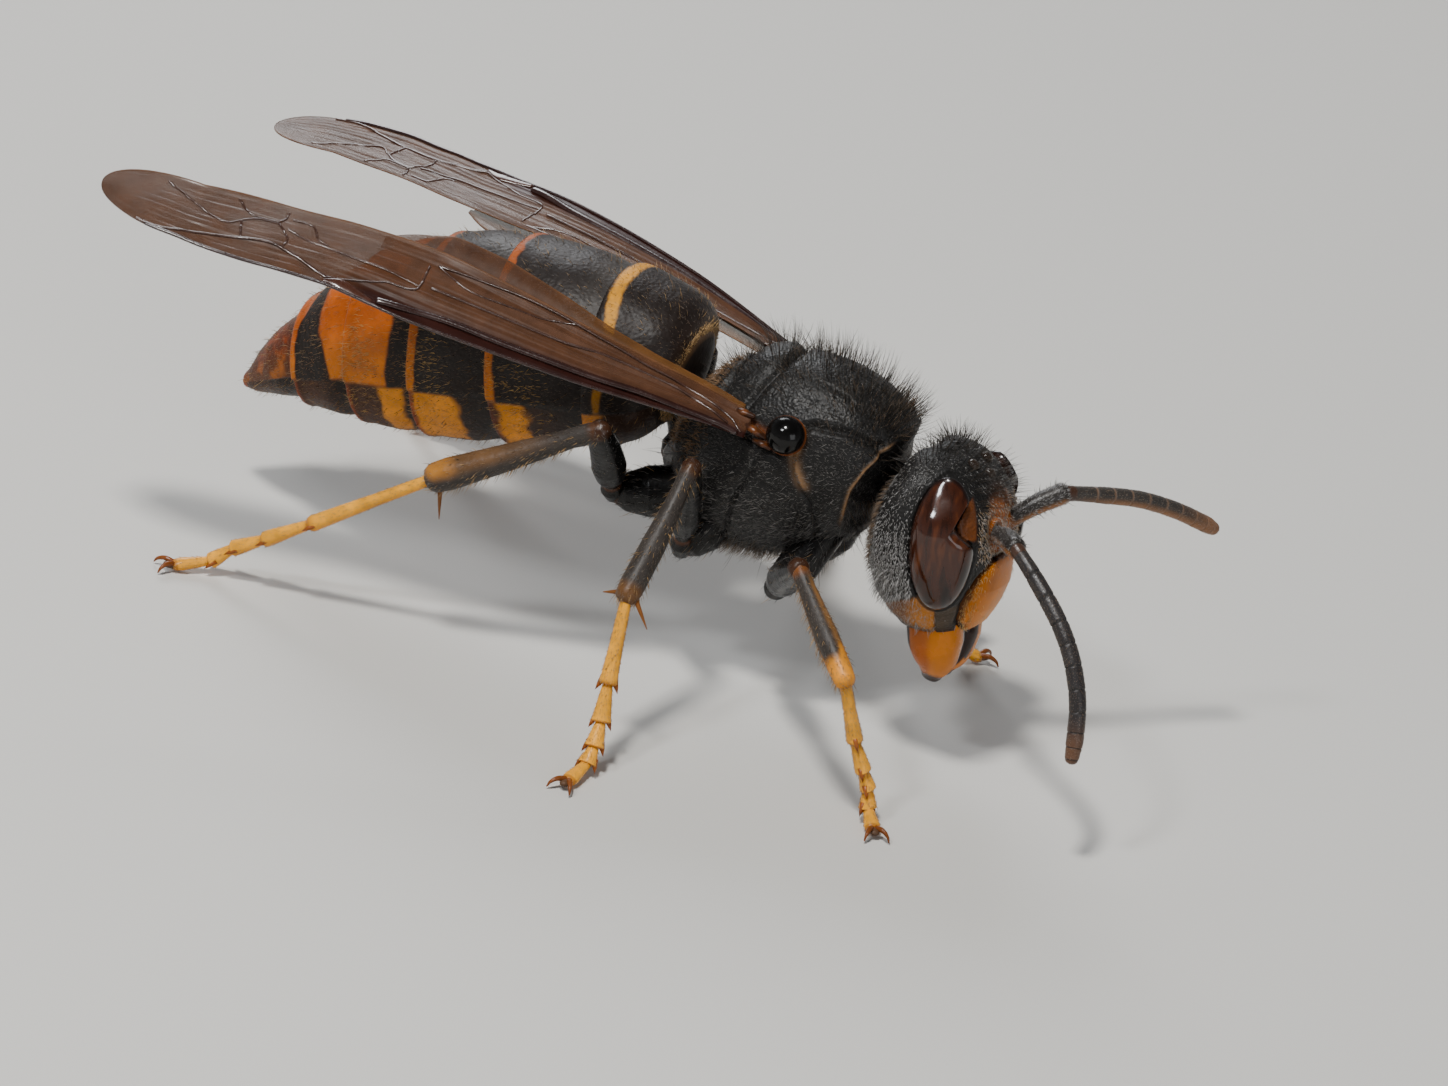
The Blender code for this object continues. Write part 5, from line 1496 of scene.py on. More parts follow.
# Stations and shares of the width along each vein
WING_LINES = {
    "costal_band": (
        (10.97, 0.90),
        (9.07, 0.80),
        (7.03, 0.80),
        (4.63, 0.78),
        (3.03, 0.76),
        (1.38, 0.82),
        (0.29, 0.91),
    ),
    "front_edge": (
        (17.9, 0.985),
        (16.3, 0.985),
        (14.0, 0.985),
        (12.6, 0.985),
        (10.0, 0.985),
        (5.0, 0.985),
        (1.0, 0.97),
    ),
    "radial_sector": (
        (12.62, 0.88),
        (13.95, 0.68),
        (14.53, 0.64),
        (15.3, 0.68),
        (16.3, 0.78),
        (16.93, 0.87),
        (17.57, 0.95),
        (18.21, 0.97),
    ),
    "cell_left": ((15.5, 0.41), (15.3, 0.68)),
    "cell_top": ((15.5, 0.41), (15.08, 0.32), (14.49, 0.30)),
    "cell_right": ((14.49, 0.30), (14.09, 0.49), (14.10, 0.66)),
    "outer_line": ((17.86, 0.13), (16.95, 0.33), (15.98, 0.51), (15.5, 0.41)),
    "outer_cell": ((15.81, 0.10), (15.31, 0.28), (14.5, 0.28)),
    "lower_cell": ((14.5, 0.28), (14.38, 0.19), (14.36, 0.10)),
    "disc": ((14.17, 0.17), (13.58, 0.19), (13.28, 0.37), (12.97, 0.42)),
    "media": ((14.16, 0.36), (13.5, 0.43), (12.52, 0.48), (11.11, 0.49), (10.09, 0.53)),
    "cross": ((10.97, 0.64), (10.28, 0.62), (10.09, 0.53), (10.08, 0.21)),
    "stem": ((12.62, 0.88), (11.6, 0.74), (10.97, 0.64)),
    "median": ((9.83, 0.16), (8.84, 0.30), (7.85, 0.28), (6.66, 0.20), (5.63, 0.06)),
    "long_median": (
        (9.74, 0.49),
        (7.69, 0.46),
        (5.66, 0.41),
        (4.5, 0.30),
        (3.25, 0.30),
        (1.97, 0.38),
        (0.6, 0.71),
    ),
    "anal": ((9.83, 0.16), (7.0, 0.05), (4.62, 0.06), (3.34, 0.11), (2.06, 0.17), (0.69, 0.46), (0.15, 0.83)),
}
VEIN_RADII = {
    "costal_band": 0.15,
    "front_edge": 0.075,
    "radial_sector": 0.06,
    "long_median": 0.06,
    "anal": 0.05,
}
SMALL_VEIN = 0.042
FRONT_VEINS = ("costal_band", "front_edge")
FRONT_VEIN_COLOUR = (0.022, 0.0066, 0.0046)
VEIN_COLOUR = (0.045, 0.019, 0.012)
WING_SPOT = ((12.62, 0.93), (12.2, 0.90), (11.67, 0.93), (11.2, 0.96))
SPOT_ROWS = ((0.0, 0.06, 0.03), (0.4, 0.20, 0.05), (1.0, 0.10, 0.04))
MEMBRANE_COLOUR = (0.078, 0.033, 0.016)
FRONT_BAND_COLOUR = (0.024, 0.0070, 0.0050)
FOLDED_EDGE_COLOUR = (0.16, 0.070, 0.026)
STREAK_COLOUR = (0.14, 0.075, 0.05)
HINDWING_TINT = (0.20, 0.085, 0.020, 1.0)


def wing_frame(side, stations):
    """Centres along the wing, with the directions across it and out of its upper face."""
    root, tip, (root_tilt, tip_tilt), arch = WINGS[side]
    root = np.array(root)
    mirror = -1.0 if side == "right" else 1.0
    along = unit(np.array(tip) - root)
    share = np.clip(stations, 0, None) / FOREWING_LENGTH
    out = np.array((0.0, mirror, 0.0))
    out = unit(out - along * (out @ along))
    up = np.cross(along, out) * -mirror
    tilt = np.radians(root_tilt + (tip_tilt - root_tilt) * share**0.5)[..., None]
    across = out * np.cos(tilt) - up * np.sin(tilt)
    normal = up * np.cos(tilt) + out * np.sin(tilt)
    centre = root + along * stations[..., None] + up * (arch * 4 * share * (1 - share))[..., None]
    return centre, across, normal


def wing_edges(stations):
    """Reach of the folded edge and of the front edge, with a round tip."""
    rows = np.array(WING_ROWS)
    places = np.interp(np.clip(stations, 0, WING_ROUND_FROM), rows[:, 0], np.arange(len(rows)))
    inner, outer = np.moveaxis(catmull(rows[:, 1:], places), -1, 0)
    past = np.clip((stations - WING_ROUND_FROM) / (FOREWING_LENGTH - WING_ROUND_FROM), 0, 1)
    middle = (inner + outer) / 2 - 0.12 * past
    half = (outer - inner) / 2 * np.sqrt(np.maximum(1 - past**2.3, 0.0008))
    return middle - half, middle + half


def wing_places(side, stations, shares, lift=0.0):
    """Points of the forewing at stations and shares of its width from the folded edge."""
    inner, outer = wing_edges(stations)
    centre, across, normal = wing_frame(side, stations)
    reach = inner + (outer - inner) * shares
    return centre + across * reach[..., None] + normal * np.asarray(lift)[..., None]


def pleats(stations, shares):
    """Height of the wing's long folds over its width."""
    fade = smooth(0.0, 2.0, stations) * smooth(FOREWING_LENGTH, 16.0, stations)
    turn = shares * 2 * math.pi
    folds = 0.06 * np.cos(turn * 1.5 + 0.9) + 0.035 * np.cos(turn * 3.2)
    sway = 0.5 * np.sin(stations * 0.7) + 0.3 * np.sin(stations * 1.9)
    fine = 0.009 * np.cos(turn * 8.0 + sway) + 0.004 * np.cos(turn * 15.0 - sway)
    crumple = 0.020 * np.sin(stations * 1.7 + shares * 5.0) + 0.012 * np.sin(stations * 3.9 - shares * 9.0)
    crumple = 0.6 * crumple * smooth(9.0, 13.0, stations) * smooth(0.0, 0.15, shares)
    calm = 1 - 0.60 * smooth(7.0, 13.0, stations)
    return folds * fade * calm + fine * fade**0.5 + crumple


def veil(points, stations, shares):
    """Brown tint and opacity of the membrane: dense by the front edge, clearer behind."""
    dense = smooth(0.62, 0.86, shares) * smooth(12.6, 11.2, stations)
    thick = 0.74 + 0.10 * smooth(0.25, 0.9, shares) + 0.08 * smooth(14.0, 8.0, stations)
    thick = thick + 0.05 * waviness(points, 2.5, 110)
    thick = thick + 0.18 * smooth(0.03, 0.0, shares) + 0.35 * dense
    colour = mix(MEMBRANE_COLOUR, FRONT_BAND_COLOUR, dense)
    colour = mix(colour, FOLDED_EDGE_COLOUR, 0.4 * smooth(0.06, 0.0, shares))
    colour = mix(colour, STREAK_COLOUR, 0.35 * bump(shares, 0.30, 0.10) * smooth(14.0, 8.0, stations))
    return np.concatenate([colour, np.clip(thick, 0, 0.97)[..., None]], -1)


def make_forewing(side):
    """The long wing, folded lengthwise, with its veins and the dark spot at its front edge."""
    stations = np.concatenate([np.linspace(0.0, 18.6, 230), np.linspace(18.66, FOREWING_LENGTH, 40)])
    station, share = np.meshgrid(stations, np.linspace(0, 1, 70), indexing="ij")
    lift = pleats(station, share)
    upper = wing_places(side, station, share, lift + MEMBRANE / 2)
    lower = wing_places(side, station, share, lift - MEMBRANE / 2)
    shape = Shape()
    shape.sheet(upper, lower, veil(upper, station, share))
    make_piece(f"forewing_membrane_{side}", shape, WING_SKIN, (f"forewing_{side}",))
    veins = Shape()
    for name, line in WING_LINES.items():
        path = wing_path(side, line)
        radius = VEIN_RADII.get(name, SMALL_VEIN)
        rows = ((0.0, radius, radius * 0.7), (1.0, radius * 0.8, radius * 0.6))
        colour = FRONT_VEIN_COLOUR if name in FRONT_VEINS else VEIN_COLOUR
        veins.loft(tube_grid(path, rows, sides=12, count=60), painted(colour, 0.26))
    spot = wing_path(side, WING_SPOT)
    facing = wing_frame(side, np.array([12.0]))[2][0]
    veins.loft(tube_grid(spot, SPOT_ROWS, 20, 30, lie=facing), painted((0.050, 0.015, 0.007), 0.26))
    make_piece(f"forewing_veins_{side}", veins, VEIN_SKIN)


def wing_path(side, line):
    """Points on the wing along a line of (station, share) knots."""
    knots = np.array(line)
    steps = np.linspace(0, len(knots) - 1, 12 * len(knots))
    smoothed = catmull(knots, steps)
    stations = smoothed[:, 0]
    shares = np.clip(smoothed[:, 1], 0.0, 1.0)
    return wing_places(side, stations, shares, pleats(stations, shares) + MEMBRANE * 0.6)


def make_hindwing(side):
    """The short hind wing, laid under the folded edge of the forewing."""
    first = HINDWING_ROWS[0][0]
    last = HINDWING_ROWS[-1][0]
    station, share = np.meshgrid(np.linspace(first, last, 120), np.linspace(0, 1, 30), indexing="ij")
    past = smooth(last - 2.6, last, station)
    width = by_station(HINDWING_ROWS, np.minimum(station, last - 1.2))[0]
    width = width * np.sqrt(np.maximum(1 - past**2, 0.0004))
    inner, _ = wing_edges(station)
    centre, across, normal = wing_frame(side, station)
    middle = centre + across * (inner - width * (1 - share) + 0.45 * share)[..., None]
    middle = middle + normal * (-0.14 + 0.04 * np.sin(share * 7))[..., None]
    upper = middle + normal * MEMBRANE / 2
    lower = middle - normal * MEMBRANE / 2
    tint = mix(veil(upper, station, share * 0.5), HINDWING_TINT, 0.6 * smooth(8.0, 2.0, station))
    tint[..., 3] = 0.58 + 0.3 * smooth(0.08, 0.0, share)
    shape = Shape()
    shape.sheet(upper, lower, tint)
    make_piece(f"hindwing_membrane_{side}", shape, WING_SKIN, (f"hindwing_{side}",))


# Legs

# Hip, trochanter, knee and ankle of each leg, then its four foot joints and its toe
LEGS = {
    "front_right": (
        (2.10, -0.95, 5.70), (1.00, -1.60, 3.65), (2.60, -4.65, 6.05), (5.20, -6.50, 4.20),
        (5.75, -6.10, 2.30), (6.15, -6.00, 1.45), (6.38, -5.95, 0.95), (6.50, -6.00, 0.42),
        (6.95, -6.60, 0.20),
    ),
    "middle_right": (
        (-1.20, -0.90, 5.20), (-2.00, -1.60, 3.85), (-1.35, -4.00, 7.55), (-1.40, -7.00, 4.60),
        (-1.05, -8.10, 2.30), (-0.87, -8.55, 1.35), (-0.78, -8.95, 0.75), (-0.78, -9.25, 0.34),
        (-0.85, -10.25, 0.20),
    ),
    "hind_right": (
        (-2.30, -0.95, 5.40), (-4.25, -1.90, 4.95), (-4.26, -4.00, 7.68), (-8.40, -5.20, 5.10),
        (-11.80, -5.60, 2.50), (-13.10, -5.65, 1.55), (-14.00, -5.70, 0.95), (-14.55, -5.85, 0.40),
        (-15.35, -6.45, 0.20),
    ),
    "front_left": (
        (2.10, 0.95, 5.70), (1.00, 1.60, 3.65), (2.30, 4.35, 5.90), (4.10, 5.70, 4.00),
        (4.40, 5.60, 2.10), (4.60, 5.50, 1.30), (4.70, 5.45, 0.85), (4.78, 5.45, 0.40),
        (5.15, 5.75, 0.20),
    ),
    "middle_left": (
        (-1.20, 0.90, 5.20), (-2.00, 1.60, 3.85), (-1.55, 4.10, 7.40), (-1.80, 7.00, 4.60),
        (-1.60, 8.20, 2.30), (-1.50, 8.70, 1.35), (-1.45, 9.05, 0.75), (-1.45, 9.35, 0.34),
        (-1.60, 10.30, 0.20),
    ),
    "hind_left": (
        (-2.30, 0.95, 5.40), (-4.15, 1.90, 4.95), (-4.40, 4.00, 7.40), (-8.60, 5.60, 5.00),
        (-11.70, 6.60, 2.40), (-12.90, 6.95, 1.50), (-13.70, 7.15, 0.95), (-14.25, 7.35, 0.40),
        (-15.00, 7.90, 0.20),
    ),
}
COXA_RADII = {"front": (0.62, 0.48), "middle": (0.70, 0.52), "hind": (0.75, 0.55)}
FEMUR_RADII = {"front": (0.30, 0.50, 0.34), "middle": (0.30, 0.45, 0.32), "hind": (0.32, 0.51, 0.36)}
TIBIA_RADII = {"front": (0.26, 0.35, 0.33), "middle": (0.26, 0.36, 0.37), "hind": (0.29, 0.40, 0.47)}
TROCHANTER_RADII = ((0.0, 0.30), (0.5, 0.36), (1.0, 0.26))
TROCHANTER_SHARE = 0.16
# Length of each spur, and how far it follows the foot, points ahead and points down
SPURS = {
    "front": ((0.55, (0.85, 0.35, 0.30)),),
    "middle": ((0.95, (0.80, 0.60, 0.0)), (0.50, (0.30, -0.90, 0.0))),
    "hind": ((1.10, (0.50, 0.10, 0.85)), (0.60, (0.70, -0.50, 0.40))),
}
SPUR_RADII = ((0.0, 0.085), (0.5, 0.055), (1.0, 0.012))
# Share of the way, half width and half height of the first, middle and last foot joints
FOOT_FIRST = (
    (0.0, 0.15, 0.15),
    (0.05, 0.165, 0.165),
    (0.5, 0.19, 0.185),
    (0.9, 0.245, 0.23),
    (0.985, 0.27, 0.24),
    (1.0, 0.22, 0.20),
)
FOOT_MIDDLE = (
    (0.0, 0.145, 0.135),
    (0.12, 0.165, 0.155),
    (0.85, 0.265, 0.230),
    (0.97, 0.29, 0.235),
    (1.0, 0.23, 0.18),
)
FOOT_LAST = ((0.0, 0.14, 0.13), (0.3, 0.17, 0.155), (0.85, 0.235, 0.18), (1.0, 0.22, 0.16))
FOOT_JOINTS = (FOOT_FIRST, FOOT_MIDDLE, FOOT_MIDDLE, FOOT_MIDDLE, FOOT_LAST)
CLAW_LENGTH = 0.68
CLAW_SPREAD = 32.0
# Reach, rise and radius of the claw's hook
CLAW_HOOK = ((0.0, 0.0, 0.10), (0.5, 0.10, 0.075), (0.85, 0.02, 0.05), (1.0, -0.12, 0.02))
PAD_ROWS = ((0.0, 0.14, 0.10), (0.6, 0.19, 0.10), (1.0, 0.12, 0.08))


def limb(shape, path, rows, tints, sides=48, count=90, round_ends=(True, True)):
    """One tube of a leg: tints gives a paint for each share of the way and side of the tube."""
    grid = tube_grid(path, rows, sides, count, round_ends=round_ends)
    extra = tuple(END_RINGS if closed else 0 for closed in round_ends)
    share = np.pad(np.linspace(0, 1, count), extra, mode="edge")[:, None] * np.ones(sides)
    shape.loft(grid, tints(share, surface_normals(grid)))
    return grid


def worn_black(colour, roughness, low, high, strength=1.0):
    """Glossy black that turns to another colour between two shares of the way."""

    def tints(share, normals):
        return over(painted(LEG_BLACK, 0.26), colour, roughness, strength * smooth(low, high, share))

    return tints


def make_coxa(name, hip, trochanter):
    wide, narrow = COXA_RADII[name.split("_")[0]]
    root = 0.70 if name.startswith("front") else 1.0
    path = (hip, (hip + trochanter) / 2, trochanter)
    rows = (
        (0.0, wide * root, wide * root),
        (0.55, wide * 1.02, wide),
        (0.86, narrow, narrow),
        (1.0, 0.30, 0.30),
    )
    shape = Shape()
    grid = limb(shape, path, rows, worn_black((0.05, 0.018, 0.007), 0.3, 0.93, 1.0))
    make_piece(f"coxa_skin_{name}", shape, LEG_SKIN, (f"coxa_{name}",))
    return grid


def make_femur(name, trochanter, knee):
    """The thigh, a little bowed, with the small joint that it hangs on."""
    first, middle, last = FEMUR_RADII[name.split("_")[0]]
    pivot = trochanter + (knee - trochanter) * TROCHANTER_SHARE
    bow = np.array((0.0, 0.0, 0.10))
    path = (pivot, trochanter + (knee - trochanter) * 0.5 + bow, knee)
    swelling = ((0.0, first * 0.8), (0.16, middle * 0.86), (0.36, middle), (0.75, middle * 0.86))
    rows = (*swelling, (0.94, last), (1.0, last * 0.9))
    shape = Shape()
    worn = worn_black((0.06, 0.02, 0.007), 0.3, 0.8, 1.0)
    limb(shape, (trochanter, pivot), TROCHANTER_RADII, worn, count=30)
    grid = limb(shape, path, rows, worn_black((0.045, 0.016, 0.006), 0.32, 0.955, 0.995, 0.8))
    make_piece(f"femur_skin_{name}", shape, LEG_SKIN, (f"femur_{name}",))
    return grid


def shin_paint(name):
    """Grey-black, with brown ends and, on the front leg, brown edges and a yellow end; the hind leg is tan
    and yellow on its upper side, partly as painted highlight.
    """
    grey = painted((0.034, 0.028, 0.024), 0.46)
    mirror = -1.0 if name.endswith("right") else 1.0

    def front(share, normals):
        facing = normals @ unit(np.array((0.1, mirror, 0.25)))
        edges = smooth(0.72, 0.35, facing) * smooth(-0.6, 0.1, facing)
        tint = over(grey, (0.22, 0.100, 0.026), 0.38, 0.8 * edges * smooth(0.02, 0.2, share))
        tint = over(tint, (0.15, 0.048, 0.010), 0.38, smooth(0.12, 0.03, share))
        return over(tint, (0.64, 0.24, 0.014), 0.34, smooth(0.78, 0.90, share + 0.10 * edges))

    def middle(share, normals):
        tint = over(grey, (0.060, 0.022, 0.007), 0.34, 0.9 * smooth(0.10, 0.02, share))
        return over(tint, (0.13, 0.055, 0.014), 0.34, 0.8 * smooth(0.90, 0.99, share))

    def hind(share, normals):
        # Tan, then yellow towards the end, on the upper side: partly the shin's own colour, partly a painted
        # highlight where light falls from above
        upper = smooth(-0.2, 0.6, normals[..., 2])
        tint = over(grey, (0.15, 0.070, 0.022), 0.36, 0.75 * upper * smooth(0.15, 0.75, share))
        tint = over(tint, (0.060, 0.022, 0.007), 0.34, 0.9 * smooth(0.08, 0.02, share))
        return over(tint, (0.36, 0.145, 0.020), 0.34, 0.85 * upper * smooth(0.82, 0.95, share))

    return {"front": front, "middle": middle, "hind": hind}[name.split("_")[0]]


def make_tibia(name, knee, ankle, foot):
    """The shin, bent a little, with the spurs at its end."""
    pair = name.split("_")[0]
    first, middle, last = TIBIA_RADII[pair]
    foot_way = unit(foot - ankle)
    leg_way = unit(ankle - knee)
    bend = unit(np.cross(leg_way, unit(np.cross(foot_way, leg_way))))
    path = (knee, knee + (ankle - knee) * 0.5 + bend * 0.05, ankle)
    upper = ((0.0, first * 0.9), (0.06, first), (0.18, first * 0.98), (0.6, middle))
    shape = Shape()
    grid = limb(shape, path, (*upper, (0.92, last), (1.0, last * 0.93)), shin_paint(name), count=110)
    below = unit(np.array((0.0, 0.0, -1.0)) + leg_way * leg_way[2])
    for length, (with_foot, ahead, under) in SPURS[pair]:
        way = unit(foot_way * with_foot + np.array((ahead, 0.0, 0.0)) + below * under)
        start = ankle - leg_way * 0.02 + unit(way - leg_way * (way @ leg_way)) * 0.24
        spine = tube_grid((start, start + way * length), SPUR_RADII, sides=12, count=16)
        shape.loft(spine, painted((0.17, 0.060, 0.012), 0.3))
    make_piece(f"tibia_skin_{name}", shape, LEG_SKIN, (f"tibia_{name}",))
    return grid


FOOT_BROWN = (0.26, 0.070, 0.008)


def foot_paint(share, normals):
    """Yellow, browner at the two ends of each joint and beneath."""
    ends = 0.50 * smooth(0.10, 0.0, share) + 0.65 * smooth(0.93, 1.0, share)
    tint = mix(painted(FOOT_YELLOW, 0.34), painted(FOOT_BROWN, 0.36), ends)
    return over(tint, (0.60, 0.20, 0.012), 0.36, 0.5 * smooth(-0.2, -0.8, normals[..., 2]))


def add_joint_points(shape, start, end):
    """The pair of points at the end of a foot joint."""
    way = unit(end - start)
    out = unit(np.cross(way, (0.0, 0.0, 1.0)))
    for hand in (-1.0, 1.0):
        root = end - way * 0.22 + out * hand * 0.16 - np.array((0.0, 0.0, 0.04))
        shape.spikes(root, way + out * hand * 0.42, 0.42, 0.105, painted(FOOT_BROWN, 0.36), sides=10)


def add_claws(shape, toe, flat):
    """Two hooked claws and the pad between them, all kept above the floor."""
    out = np.cross((0.0, 0.0, 1.0), flat)
    radii = [(share, radius) for share, (_, _, radius) in zip(np.linspace(0, 1, len(CLAW_HOOK)), CLAW_HOOK)]
    for hand in (-1.0, 1.0):
        angle = math.radians(CLAW_SPREAD) * hand
        lie = flat * math.cos(angle) + out * math.sin(angle)
        hook = [
            toe + lie * (CLAW_LENGTH * reach) + np.array((0.0, 0.0, rise))
            for reach, rise, _ in CLAW_HOOK
        ]
        claw = tube_grid(hook, radii, sides=16, count=24)
        claw[..., 2] = np.maximum(claw[..., 2], 0.0)
        shape.loft(claw, painted((0.18, 0.050, 0.009), 0.25))
    pad = tube_grid((toe, toe + flat * 0.30), PAD_ROWS, sides=20, count=12)
    pad[..., 2] = np.maximum(pad[..., 2], 0.0)
    shape.loft(pad, painted((0.10, 0.05, 0.025), 0.5))


def make_foot(name, points):
    """Five foot joints, each flared to a pair of points below, with two claws and a pad."""
    shape = Shape()
    grids = []
    for number, (start, end) in enumerate(zip(points[:-1], points[1:])):
        last = number == len(FOOT_JOINTS) - 1
        inset = start + (end - start) * (0.02 if number else 0.0)
        path = (inset, (inset + end) / 2, end)
        grids.append(limb(shape, path, FOOT_JOINTS[number], foot_paint, 32, 48, round_ends=(True, last)))
        if not last:
            add_joint_points(shape, start, end)
    way = unit(points[-1] - points[-2])
    add_claws(shape, points[-1], unit(way * np.array((1.0, 1.0, 0.0))))
    make_piece(f"tarsus_skin_{name}", shape, LEG_SKIN, (f"tarsus_{name}",))
    return grids


def make_leg(name):
    hip, trochanter, knee, ankle, *foot = (np.array(point) for point in LEGS[name])
    return {
        "coxa": make_coxa(name, hip, trochanter),
        "femur": make_femur(name, trochanter, knee),
        "tibia": make_tibia(name, knee, ankle, foot[0]),
        "tarsus": make_foot(name, (ankle, *foot)),
    }


# Fur

FINE = 0.010
SLIM = 0.008
THIN = 0.009
WISP = 0.007


def thorax_fur(skin):
    """Short silvery fur on the flanks, golden-brown on the crest, and long dark hairs that stand up."""
    grid, normals = skin
    x = grid[..., 0]
    z = grid[..., 2]
    rise = normals[..., 2]
    front_cap = smooth(3.45, 3.2, x)
    flank = smooth(0.75, 0.3, rise) * front_cap
    crest = smooth(0.45, 0.85, rise) * front_cap
    low = smooth(7.0, 5.2, z)
    shine = 0.75 + 0.5 * waviness(grid, 1.3, 201)
    seams = 1 - 0.85 * bump(line_distance(x, z, SCUTUM_SEAM), 0, 0.12)
    upper_flank = flank * (1 - 0.5 * low) * shine * seams + 0.10
    coat = Coat(210)
    coat.lay(skin, 14000, upper_flank, 0.10, FINE, (GREY_HAIR, DUSK), 0.26, 0.5, ruffle=0.5)
    coat.lay(skin, 6500, crest * shine * seams + 0.02, 0.09, FINE, (BROWN_HAIR, DUSK), 0.14, 0.5, ruffle=0.6)
    coat.lay(skin, 3600, flank * low + 0.1 * flank, 0.24, FINE, (DUSK, GREY_HAIR), 0.36, 0.4, 2, ruffle=0.5)
    coat.done("thorax_short_fur")
    collar = smooth(2.4, 2.9, x) * smooth(0.1, 0.5, rise)
    standing = crest + 1.2 * collar + 0.05 * flank
    fringe = smooth(5.0, 4.3, z) + 0.7 * smooth(2.6, 3.1, x) * smooth(7.5, 6.8, z)
    rear = smooth(-1.5, -2.1, x) * smooth(6.6, 7.4, z)
    coat = Coat(211)
    coat.lay(skin, 1400, standing, 0.84, WISP, (DARK_HAIR, SOOT), 0.92, 0.30, 3, ruffle=0.9)
    coat.lay(skin, 520, crest * 0.5 + collar, 0.50, SLIM, (BROWN_HAIR, DARK_HAIR), 0.85, 0.35, 2, ruffle=0.9)
    coat.lay(skin, 1500, fringe, 0.46, FINE, (BROWN_HAIR, GREY_HAIR), 0.75, 0.4, 2, ruffle=0.7)
    coat.lay(skin, 1200, rear, 0.32, FINE, (BROWN_HAIR, TAN), 0.55, 0.5, 2, ruffle=0.6)
    coat.done("thorax_long_hair")


def head_fur(skin, flat):
    """Silver fur behind the eye that thickens downward, dark hairs on the crown, pale ones on the face."""
    local = to_eye(flat)
    reach = eye_reach(local)
    x = flat[..., 0]
    y = np.abs(flat[..., 1])
    z = flat[..., 2]
    side = smooth(1.2, 1.7, y)
    off_eye = 1 - side * smooth(1.20, 1.05, np.minimum(reach, eye_oval(local) + 0.06))
    free = off_eye * (1 - shield_mask(flat, 0.12)) * smooth(3.9, 4.1, z)
    front = smooth(5.6, 6.2, x) * smooth(2.0, 1.6, y)
    behind = smooth(0.1, -0.35, local[..., 0]) * side
    low = smooth(7.6, 5.6, z)
    malar = side * malar_patch(local, 0.0)
    bare = 1 - 0.93 * smooth(-1.22, -1.42, malar_edge(local)) * side
    for place in OCELLI:
        free = free * (1 - bump(np.linalg.norm(flat - np.array(place), axis=-1), 0, 0.30))
    cheeks = free * bare * (behind * (0.10 + low) + 0.06)
    crown = free * smooth(7.4, 8.0, z) * (1 - front * 0.5)
    sockets = free * front * smooth(8.1, 7.6, z) * smooth(6.3, 6.6, z)
    coat = Coat(220)
    coat.lay(skin, 9500, cheeks, 0.12, FINE, (SILVER, GREY_HAIR), 0.42, 0.5, ruffle=0.35)
    coat.lay(skin, 2200, crown, 0.09, FINE, (GREY_HAIR, DUSK), 0.25, 0.5, ruffle=0.7)
    coat.lay(skin, 1500, sockets, 0.15, FINE, (GOLD_HAIR, SILVER), 0.5, 0.5, ruffle=0.6)
    coat.lay(skin, 260, free * malar, 0.12, FINE, (GOLD_HAIR, SILVER), 0.3, 0.5, ruffle=0.4)
    coat.done("head_short_fur")
    top = free * (smooth(8.1, 8.6, z) + 0.8 * front * smooth(7.6, 7.9, z))
    cheek = free * bare * (behind * smooth(5.9, 5.0, z) + 0.6 * smooth(4.5, 4.2, z) * behind)
    nape = smooth(3.9, 3.5, x) * smooth(4.2, 4.8, z) * smooth(8.9, 8.4, z)
    coat = Coat(221)
    coat.lay(skin, 640, top, 0.60, SLIM, (DARK_HAIR, SOOT), 0.92, 0.25, 3, ruffle=1.2)
    coat.lay(skin, 420, cheek, 0.32, FINE, (SILVER, GREY_HAIR), 0.65, 0.4, 2, ruffle=0.5)
    coat.lay(skin, 1600, nape, 0.30, FINE, (DUSK, BROWN_HAIR), 0.6, 0.4, 2, ruffle=0.7)
    coat.done("head_long_hair")


def shield_fur(front):
    """Golden hairs along the edges of the face shield."""
    normals = surface_normals(front, closed=False)
    normals = normals * np.sign(normals[..., 0].mean())
    rows, columns = front.shape[:2]
    across = np.abs(np.linspace(-1, 1, columns))[None] * np.ones(rows)[:, None]
    edge = smooth(0.62, 0.95, across) + 0.02
    edge[:, -2:] = 0
    edge[:2] = 0
    edge[-4:] = 0
    coat = Coat(230)
    bright = (BRIGHT_HAIR, GOLD_HAIR)
    coat.lay((front, normals), 520, edge, 0.13, FINE, bright, 0.5, 0.5, comb=math.pi, ruffle=0.5)
    coat.done("face_shield_hair")


RING_HAIRS = (3600, 3400, 3600, 3200, 2400, 1800)


